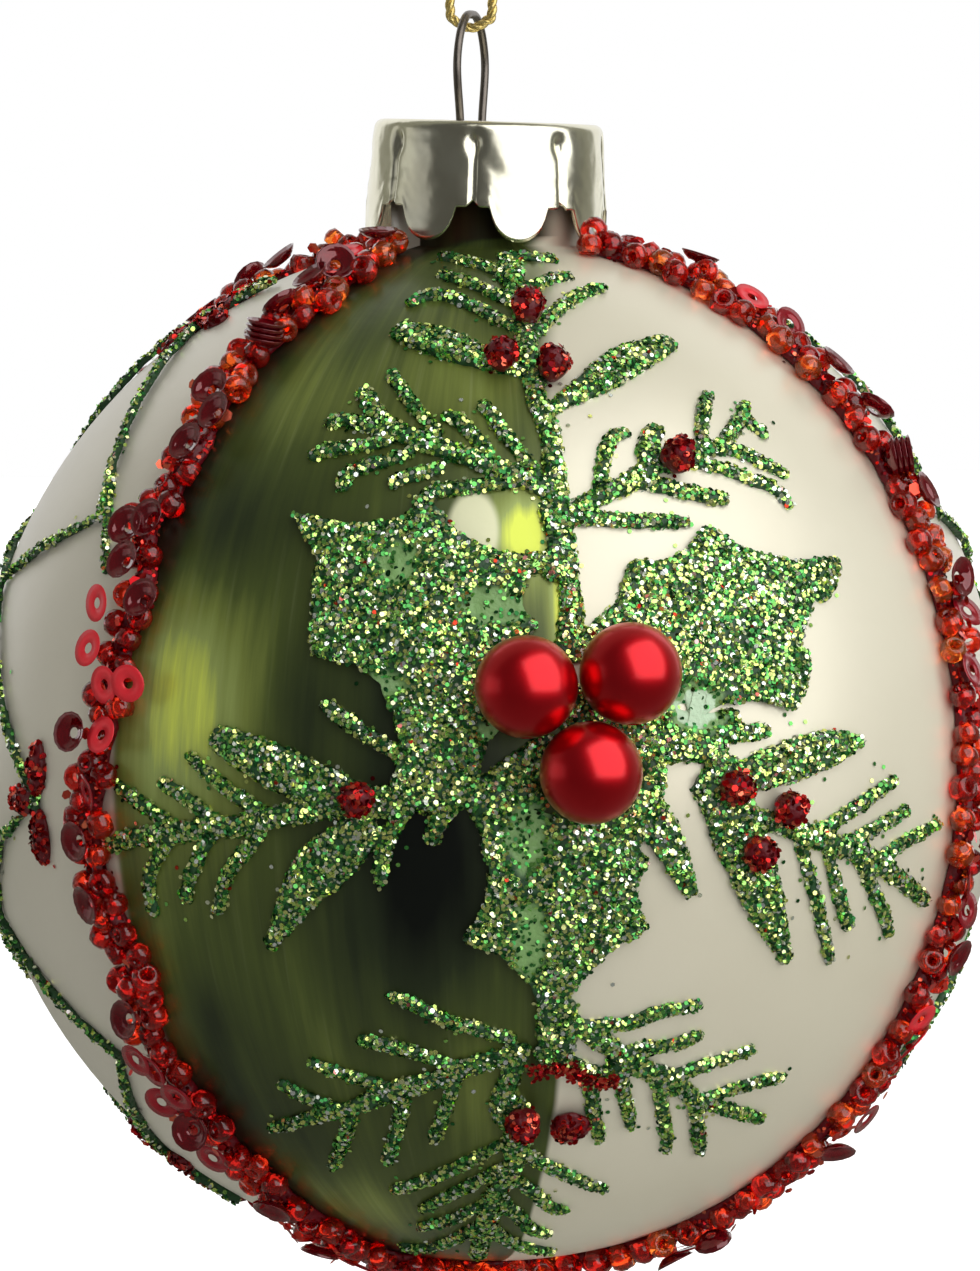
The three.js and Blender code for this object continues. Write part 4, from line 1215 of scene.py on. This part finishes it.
def tipped(point, outward, dice, tip, size=1.0):
    """A place for a flat thing that is tipped at random from lying square to outward."""
    angles = (dice.gauss(0, tip), dice.gauss(0, tip), dice.uniform(0, math.tau))
    turn = Euler(angles).to_matrix().to_4x4()
    return Matrix.Translation(point) @ upright(outward) @ turn @ Matrix.Scale(size, 4)


def laid(longitude, latitude, height, dice, tip, size=1.0):
    """A tipped place at a height over the glass."""
    return tipped(on_ball(longitude, latitude, height), direction(longitude, latitude), dice, tip, size)


def glitter(name, base, finish, density, wanted=None, spill=0.03, tip=0.36, size=1.0):
    """Flakes all over the outer side of a piece, with some spilt on the glass around it."""
    dice = random.Random(name)
    faces, areas = outer_faces(base)
    count = int(sum(areas) / MM ** 2 * density)
    shapes = []
    for corners, normal in dice.choices(faces, areas, k=count):
        a, b = dice.random(), dice.random()
        if a + b > 1:
            a, b = 1 - a, 1 - b
        point = corners[0] + (corners[1] - corners[0]) * a + (corners[2] - corners[0]) * b
        share = wanted(point) if wanted else 1.0
        if dice.random() > share:
            continue
        if dice.random() < spill:
            lon, lat = place_of(point)
            away = dice.expovariate(1 / SPILL_REACH)
            heading = dice.uniform(0, math.tau)
            level = max(0.2, math.cos(math.radians(lat)))
            lon += away * math.cos(heading) / MM_PER_DEGREE / level
            lat += away * math.sin(heading) / MM_PER_DEGREE
            shapes.append((SMALL_FLAKE, laid(lon, lat, 0.07 * MM, dice, 0.15), dice.random()))
            continue
        point = point + normal * dice.uniform(-0.02, 0.16) * MM
        place = tipped(point, normal, dice, tip, size * dice.uniform(0.8, 1.15))
        shapes.append((SMALL_FLAKE, place, dice.random() * (0.25 + 0.75 * share)))
    stamped_piece(name, shapes, finish)


def red_drop(name, flakes_name, mesh, spill, replaced=()):
    """A drop of red glitter glue and its flakes."""
    data = mesh_data(name, mesh)
    drop = finished(name, data, "ball", RED_GLUE, replaced=replaced, slot="red_glitter")
    glitter(
        flakes_name, drop, RED_FOIL, RED_FLAKES_PER_MM2,
        spill=spill, tip=RED_FLAKE_TIP, size=RED_FLAKE_SIZE,
    )


def medallion_drawings():
    """The glitter drawings of the front and the back, one piece of glue and one of flakes for each."""
    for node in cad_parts:
        side, _, drawing = node.partition("_")
        drawn = drawing.startswith(("spray", "holly", "sprig", "fir"))
        if side not in ("front", "back") or not drawn:
            continue
        turned = side == "back"
        glue = settled_glue(f"{node}_glue", node, GREEN_GLUE, "green_glitter")

        def wanted(point):
            return 1 - 0.97 * bareness(*place_of(point, turned))

        glitter(f"{node}_flakes", glue, GREEN_FOIL, FLAKES_PER_MM2, wanted)


def petal_places(middle):
    """The middle of each petal of one side panel, with the direction in which it points."""
    for out, east_way, north_way, petals in flowers(middle):
        for right, north in petals:
            along = east_way * right + north_way * north
            place = out * BALL_RADIUS + along * (PETAL_START + PETAL_LENGTH / 2)
            yield BALL_CENTRE + place.normalized() * BALL_RADIUS, along


def petal_drop(name, point, along):
    """A long drop of red glitter glue."""
    outward = outward_at(point)
    mesh = bmesh.new()
    bmesh.ops.create_icosphere(mesh, subdivisions=4, radius=1)
    for vertex in mesh.verts:
        vertex.co *= 1 + 0.12 * noise.noise(vertex.co * 1.6 + point / MM)
        vertex.co = Vector((
            vertex.co.x * PETAL_WIDTH / 2, vertex.co.y * PETAL_LENGTH / 2, vertex.co.z * 0.62 * MM,
        ))
    aside = along.cross(outward).normalized()
    turn = Matrix((aside, outward.cross(aside), outward)).transposed().to_4x4()
    place = Matrix.Translation(point + outward * 0.1 * MM) @ turn
    bmesh.ops.transform(mesh, matrix=place, verts=mesh.verts)
    red_drop(name, f"{name}_flakes", mesh, 0.02)


def side_trellises():
    """The glitter trellis of each side panel with its red petals."""
    for node, middle in (("trellis_left", -90), ("trellis_right", 90)):
        glue = settled_glue(f"{node}_glue", node, GREEN_GLUE, "green_glitter")

        def wanted(point):
            return 0.0 if in_petal(point, middle) else 1.0

        glitter(f"{node}_flakes", glue, GREEN_FOIL, FLAKES_PER_MM2, wanted)
        for number, (point, along) in enumerate(petal_places(middle), 1):
            petal_drop(f"{node}_petal_{number}", point, along)


def berries():
    """Round drops of red glitter glue that stand on the glass, each lumpy in its own way."""
    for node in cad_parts:
        if "_berry_" not in node:
            continue
        middle = centre_of(node)
        outward = outward_at(middle)
        size = LARGE_BERRIES.get(node.partition("_berry_")[2], BERRY_DIAMETER)
        top = max((vertex.co - BALL_CENTRE).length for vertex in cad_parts[node].data.vertices)
        foot = BALL_RADIUS - 0.05 * MM
        half = (top - 0.25 * MM - foot) / 2
        mesh = bmesh.new()
        bmesh.ops.create_icosphere(mesh, subdivisions=4, radius=size / 2)
        for vertex in mesh.verts:
            vertex.co *= 1 + 0.16 * noise.noise(vertex.co / (1.1 * MM) + middle / MM)
            vertex.co.z *= half / (size / 2)
        place = Matrix.Translation(BALL_CENTRE + outward * (foot + half)) @ upright(outward)
        bmesh.ops.transform(mesh, matrix=place, verts=mesh.verts)
        red_drop(f"{node}_drop", f"{node}_flakes", mesh, 0.03, [node])


def red_trails():
    """Red flakes trailed over the lower twigs of both medallions."""
    for side, turn in (("front", 0), ("back", 180)):
        dice = random.Random(f"{side} trail")
        shapes = []
        for _ in range(TRAIL_FLAKES):
            along = dice.random() * (len(RED_TRAIL) - 1)
            start, end = RED_TRAIL[int(along)], RED_TRAIL[int(along) + 1]
            lon = start[0] + (end[0] - start[0]) * (along % 1) + dice.gauss(0, 0.5) + turn
            lat = start[1] + (end[1] - start[1]) * (along % 1) + dice.gauss(0, 0.5)
            place = laid(lon, lat, dice.uniform(0.85, 1.15) * MM, dice, 0.3)
            shapes.append((SMALL_FLAKE, place, dice.random()))
        stamped_piece(f"{side}_red_trail", shapes, RED_FOIL)


def pearls():
    """Round pearl beads, each with the mouth of its drilled hole turned to one side."""
    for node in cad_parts:
        if "_pearl_" not in node:
            continue
        radius = PEARL_DIAMETER / 2
        start = math.asin(PEARL_HOLE / PEARL_DIAMETER)
        angles = [start + (math.pi - 2 * start) * i / 40 for i in range(41)]
        profile = [(radius * math.sin(a), radius * math.cos(a)) for a in angles]
        mesh = spun(profile, 72, True)
        middle = centre_of(node)
        lie = Matrix.Rotation(math.radians(90), 4, "X")
        place = Matrix.Translation(middle) @ upright(outward_at(middle)) @ lie
        bmesh.ops.transform(mesh, matrix=place, verts=mesh.verts)
        data = mesh_data(f"{node}_bead", mesh)
        finished(f"{node}_bead", data, "ball", PEARL_COAT, replaced=[node], slot="red_pearl")


medallion_drawings()
side_trellises()
berries()
red_trails()
pearls()


# Beads and sequins

def seed_bead():
    """A round seed bead. Its hole is lined with silver, and one end has a worn rim."""
    outer, bore, half = BEAD_DIAMETER / 2, BEAD_HOLE / 2, BEAD_LENGTH / 2
    profile = [
        (bore, -half * 0.86), (outer * 0.76, -half * 0.94), (outer, -half * 0.3), (outer, half * 0.3),
        (outer * 0.76, half * 0.94), (bore * 1.5, half * 0.97), (bore, half * 0.86),
    ]
    mesh = spun(profile, 12, True)
    for face in mesh.faces:
        middle = face.calc_center_median()
        if math.hypot(middle.x, middle.y) < bore * 1.3:
            face.material_index = 1
    return mesh_data("seed", mesh)


def cup_sequin():
    """A dished sequin with a raised middle and a hole."""
    profile = [
        (0.42 * MM, 0.0), (0.8 * MM, 0.05 * MM), (1.2 * MM, 0.30 * MM), (1.52 * MM, 0.62 * MM),
        (1.55 * MM, 0.56 * MM), (1.22 * MM, 0.22 * MM), (0.82 * MM, -0.03 * MM), (0.42 * MM, -0.06 * MM),
    ]
    return mesh_data("cup", spun(profile, 14, True))


def flat_sequin():
    """A flat ring of film, a little dished."""
    profile = [
        (0.42 * MM, 0.0), (0.95 * MM, 0.02 * MM), (1.42 * MM, 0.08 * MM), (1.42 * MM, 0.03 * MM),
        (0.95 * MM, -0.04 * MM), (0.42 * MM, -0.06 * MM),
    ]
    return mesh_data("flat", spun(profile, 20, True))


SEED = seed_bead()
CUP = cup_sequin()
FLAT = flat_sequin()


def settled(places, place, room):
    """Whether a place has room among those taken. If it has, it is taken too."""
    if any((place - other).length < room for other in places):
        return False
    places.append(place)
    return True


def stray(longitude, latitude):
    """How far a bead line's glue strays to the right of its meridian at a latitude."""
    left = longitude in (BEAD_LINES["front_left"], BEAD_LINES["back_right"])
    course = STRAY_LEFT if left else STRAY_RIGHT
    for (low, before), (high, after) in zip(course, course[1:]):
        if low <= latitude <= high:
            return (before + (after - before) * (latitude - low) / (high - low)) * MM
    return 0.0


def line_place(longitude, latitude, across):
    """The longitude of a place at a distance across a bead line from the middle of its glue."""
    level = max(0.12, math.cos(math.radians(latitude)))
    return longitude + math.degrees((across + stray(longitude, latitude)) / (BALL_RADIUS * level))


def bead_matrix(point, outward, dice):
    """A bead that shows its hole or lies on its side, as it fell in the glue."""
    if dice.random() < 0.45:
        return tipped(point, outward, dice, 0.4)
    lie = Matrix.Rotation(math.radians(90) + dice.gauss(0, 0.3), 4, "X")
    spin = Matrix.Rotation(dice.uniform(0, math.tau), 4, "Z")
    return Matrix.Translation(point) @ upright(outward) @ spin @ lie


def line_beads(longitude, dice, taken, width):
    """Seed beads clustered along a line, in a lower and an upper layer."""
    beads = []
    for height, share, tries, room in BEAD_LAYERS:
        spread = share * width
        for _ in range(tries):
            lat = dice.uniform(BEAD_ROW_BOTTOM, BEAD_ROW_TOP)
            wider = 1 + 0.25 * smooth_step(50, 64, lat)
            lon = line_place(longitude, lat, dice.uniform(-spread, spread) * wider)
            point = on_ball(lon, lat, (height + dice.uniform(-0.12, 0.12)) * MM)
            if settled(taken, point, room * MM):
                lie = bead_matrix(point, direction(lon, lat), dice)
                place = lie @ Matrix.Scale(dice.uniform(0.86, 1.02), 4)
                # Painted shade: low on the lines on the left the beads lean to dark wine glass.
                wine = LEFT_BEAD_SHADE * (1 - smooth_step(28, 44, lat)) if longitude < 0 else 0
                beads.append((SEED, place, dice.random() * (1 - wine)))
    return beads


def line_sequins(longitude, dice, taken, count, shape, width):
    """Sequins stuck on the beads at random, tipped a little."""
    sequins = []
    for _ in range(count * 6):
        if len(sequins) == count:
            break
        lat = dice.uniform(BEAD_ROW_BOTTOM, BEAD_ROW_TOP)
        lon = line_place(longitude, lat, dice.uniform(-0.7, 0.7) * width)
        point = on_ball(lon, lat, SEQUIN_HEIGHT)
        if settled(taken, point, 2.5 * MM):
            sequins.append((shape, tipped(point, direction(lon, lat), dice, 0.3), dice.random()))
    return sequins


def chosen_sequin(shape, longitude, latitude, dice):
    """A sequin at a chosen place, nearly square to the glass."""
    return (shape, laid(longitude, latitude, CHOSEN_SEQUIN_HEIGHT, dice, 0.12), dice.random())


def sequin_stack(longitude, latitude, back, aside, dice):
    """Four cup sequins nested together and lying over on one side."""
    outward = direction(longitude, latitude)
    lean = Matrix.Rotation(math.radians(back), 4, "X") @ Matrix.Rotation(math.radians(aside), 4, "Y")
    place = Matrix.Translation(on_ball(longitude, latitude, SEQUIN_HEIGHT)) @ upright(outward) @ lean
    return [(CUP, place @ Matrix.Translation((0, 0, i * 0.42 * MM)), dice.random()) for i in range(-2, 2)]


def bead_bed(node, longitude=None):
    """The red glue that the beads are set in, with flakes in it."""
    data = evened(copy_of(node), 0.42 * MM, 5)
    for vertex in data.vertices:
        height = (vertex.co - BALL_CENTRE).length - BALL_RADIUS - GLUE_LIFT
        lump = 0.5 + 0.5 * noise.noise(vertex.co / (1.3 * MM))
        height = height * (0.24 + 0.42 * lump) - 0.05 * MM
        if longitude is None:
            vertex.co = BALL_CENTRE + outward_at(vertex.co) * (BALL_RADIUS + height)
            continue
        lon, lat = place_of(vertex.co)
        aside = (lon - longitude + 180) % 360 - 180
        across = math.radians(aside) * BALL_RADIUS * math.cos(math.radians(lat))
        across *= BED_SHARE * (1 + 0.5 * noise.noise(Vector((lat * 0.35, aside * 0.3, longitude))))
        vertex.co = on_ball(line_place(longitude, lat, across), lat, height)
    data.attributes.new("bare", "FLOAT", "POINT")
    bed = finished(f"{node}_bed", data, "ball", RED_GLUE, replaced=[node], slot="red_beads")
    glitter(f"{node}_bed_flakes", bed, RED_FOIL, RED_FLAKES_PER_MM2, spill=0.02)


def red_hexes(node, longitude, dice):
    """Large bright flakes that lie among the beads."""
    hexes = []
    for _ in range(HEXES_ON_LINE):
        lat = dice.uniform(BEAD_ROW_BOTTOM, BEAD_ROW_TOP)
        lon = line_place(longitude, lat, dice.gauss(0, 0.9) * MM)
        height = dice.uniform(0.8, 2.2) * MM
        size = dice.uniform(0.6, 1.1)
        shade = dice.uniform(0.35, 1.0)
        hexes.append((LARGE_FLAKE, laid(lon, lat, height, dice, 0.45, size), shade))
    stamped_piece(f"{node}_hexes", hexes, RED_FOIL)


def bead_line(name, longitude):
    """One line of glue with its beads, sequins and flakes. Three of the lines are rich in sequins."""
    node = f"bead_line_{name}"
    dice = random.Random(node)
    bead_bed(node, longitude)
    width = (1.6 if name in ("front_left", "back_right") else 1.5) * MM
    flats, cups, stacks = [
        [spot for spot in spots if abs(spot[0] - longitude) < LINE_REACH]
        for spots in (FLAT_SEQUINS, CUP_SEQUINS, SEQUIN_STACKS)
    ]
    raised = [on_ball(lon, lat, CHOSEN_SEQUIN_HEIGHT) for lon, lat, *_ in flats + cups + stacks]
    coral = [chosen_sequin(FLAT, lon, lat, dice) for lon, lat, wine in flats if not wine]
    wine = [chosen_sequin(FLAT, lon, lat, dice) for lon, lat, wine in flats if wine]
    dished = [chosen_sequin(CUP, lon, lat, dice) for lon, lat in cups]
    for stack in stacks:
        dished += sequin_stack(*stack, dice)
    many = name in ("front_left", "back_right", "back_left")
    dished += line_sequins(longitude, dice, raised, 9 if many else 4, CUP, width)
    wine += line_sequins(longitude, dice, raised, 8 if many else 4, FLAT, width)
    coral += line_sequins(longitude, dice, raised, 2, FLAT, width)
    beads = line_beads(longitude, dice, list(raised), width)
    stamped_piece(f"{node}_seeds", beads, BEAD_GLASS, BEAD_SILVER)
    stamped_piece(f"{node}_cups", dished, CUP_FILM)
    stamped_piece(f"{node}_coral_sequins", coral, CORAL_FILM)
    stamped_piece(f"{node}_wine_sequins", wine, WINE_FILM)
    red_hexes(node, longitude, dice)


def foot_cluster():
    """The beads where the four lines meet under the ball."""
    node = "bead_cluster_bottom"
    dice = random.Random(node)
    bead_bed(node)
    taken, beads, cups = [], [], []
    for _ in range(500):
        lon = dice.uniform(-180, 180)
        lat = -90 + math.degrees(FOOT_RADIUS * math.sqrt(dice.random()) / BALL_RADIUS)
        point = on_ball(lon, lat, 1.1 * MM)
        if settled(taken, point, 1.75 * MM):
            beads.append((SEED, bead_matrix(point, direction(lon, lat), dice), dice.random()))
    for lon in (20, 140, 260):
        cups.append((CUP, laid(lon, -85, 1.7 * MM, dice, 0.15), 0.0))
    stamped_piece(f"{node}_seeds", beads, BEAD_GLASS, BEAD_SILVER)
    stamped_piece(f"{node}_cups", cups, CUP_FILM)


for line_name, line_longitude in BEAD_LINES.items():
    bead_line(line_name, line_longitude)
foot_cluster()


# The studio

FLOOR_HEIGHT = BALL_CENTRE.z - BALL_RADIUS - 70 * MM


def stage_piece(name, mesh, finish):
    """A part of the studio around the object."""
    data = mesh_data(name, mesh)
    data.materials.append(finish)
    obj = linked(name, data)
    return obj


def seen_directly(nodes):
    """1 for the rays that show the background itself: the camera's, and those in metal and glass."""
    rays = [nodes.add("ShaderNodeLightPath", output=kind)
            for kind in ("Is Camera Ray", "Is Glossy Ray", "Is Transmission Ray")]
    return (rays[0] + rays[1] + rays[2]).math("MINIMUM", 1.0)


def pale_floor():
    """A pale floor well under the ball, which still takes a shadow."""
    floor = Finish("pale_floor", roughness=0.9, emission_strength=0.85)
    tone = floor.grain(floor.place(), 3.0)
    floor.vary("Base Color", floor.mix(tone, (0.78, 0.78, 0.77), (0.82, 0.82, 0.81)))
    lit = seen_directly(floor)
    floor.vary("Emission Color", floor.mix(lit, (0, 0, 0), (1, 1, 1)))
    mesh = bmesh.new()
    bmesh.ops.create_grid(mesh, x_segments=1, y_segments=1, size=3)
    bmesh.ops.translate(mesh, verts=mesh.verts, vec=(0, 0, FLOOR_HEIGHT))
    stage_piece("floor", mesh, floor.material)


def white_world():
    """A white background over a dimmer even light."""
    world = bpy.data.worlds.new("studio")
    world.use_nodes = True
    bpy.context.scene.world = world
    nodes = Nodes(world.node_tree)
    for node in list(world.node_tree.nodes):
        world.node_tree.nodes.remove(node)
    shown = nodes.add("ShaderNodeBackground", None, {"Color": (1, 1, 1), "Strength": 1.0})
    ambient = nodes.add("ShaderNodeBackground", None, {"Color": (1, 1, 1), "Strength": 0.46})
    both = nodes.add("ShaderNodeMixShader", None, {0: seen_directly(nodes), 1: ambient, 2: shown})
    nodes.add("ShaderNodeOutputWorld", None, [both])


def toward(azimuth, elevation, distance):
    """A place around the ball, from degrees to the right of the camera and above it."""
    return BALL_CENTRE + direction(azimuth + CAMERA_AZIMUTH, elevation) * distance


def softbox(name, azimuth, elevation, distance, width, height, radiance):
    """A soft lamp that faces the ball."""
    data = bpy.data.lights.new(name, "AREA")
    data.shape = "RECTANGLE"
    data.size, data.size_y = width, height
    data.energy = radiance * math.pi * width * height
    light = linked(name, data)
    light.location = toward(azimuth, elevation, distance)
    light.rotation_mode = "QUATERNION"
    light.rotation_quaternion = (light.location - BALL_CENTRE).to_track_quat("Z", "Y")
    light.visible_camera = False


def unlit_room():
    """The dim room around and behind the camera, which only reflections see. It is open at the back."""
    dim = Finish("unlit_room", base_color=(0, 0, 0), roughness=1.0, specular_ior_level=0.0)
    deep = dim.parts(dim.place())[1]
    behind = deep.step(-0.3, 0.3)
    dim.vary("Emission Color", dim.mix(behind, (0.085, 0.085, 0.08), (0.26, 0.26, 0.22)))
    dim.vary("Emission Strength", 1.0)
    mesh = bmesh.new()
    bmesh.ops.create_cube(mesh, size=1)
    open_side = max(mesh.faces, key=lambda face: face.calc_center_median().y)
    bmesh.ops.delete(mesh, geom=[open_side], context="FACES")
    bmesh.ops.scale(mesh, verts=mesh.verts, vec=(3.0, 3.0, 1.9))
    bmesh.ops.translate(mesh, verts=mesh.verts, vec=(0, -0.25, FLOOR_HEIGHT + MM + 0.95))
    turn = Matrix.Rotation(math.radians(CAMERA_AZIMUTH), 3, "Z")
    bmesh.ops.rotate(mesh, verts=mesh.verts, cent=BALL_CENTRE, matrix=turn)
    room = stage_piece("unlit_room", mesh, dim.material)
    room.visible_camera = room.visible_diffuse = room.visible_shadow = room.visible_transmission = False


pale_floor()
white_world()
softbox("key", 44, 27, 0.8, 1.22, 1.65, 1.9)
softbox("fill", -80, -14, 0.75, 0.6, 0.9, 0.35)
unlit_room()
bpy.context.scene.view_settings.view_transform = "Standard"
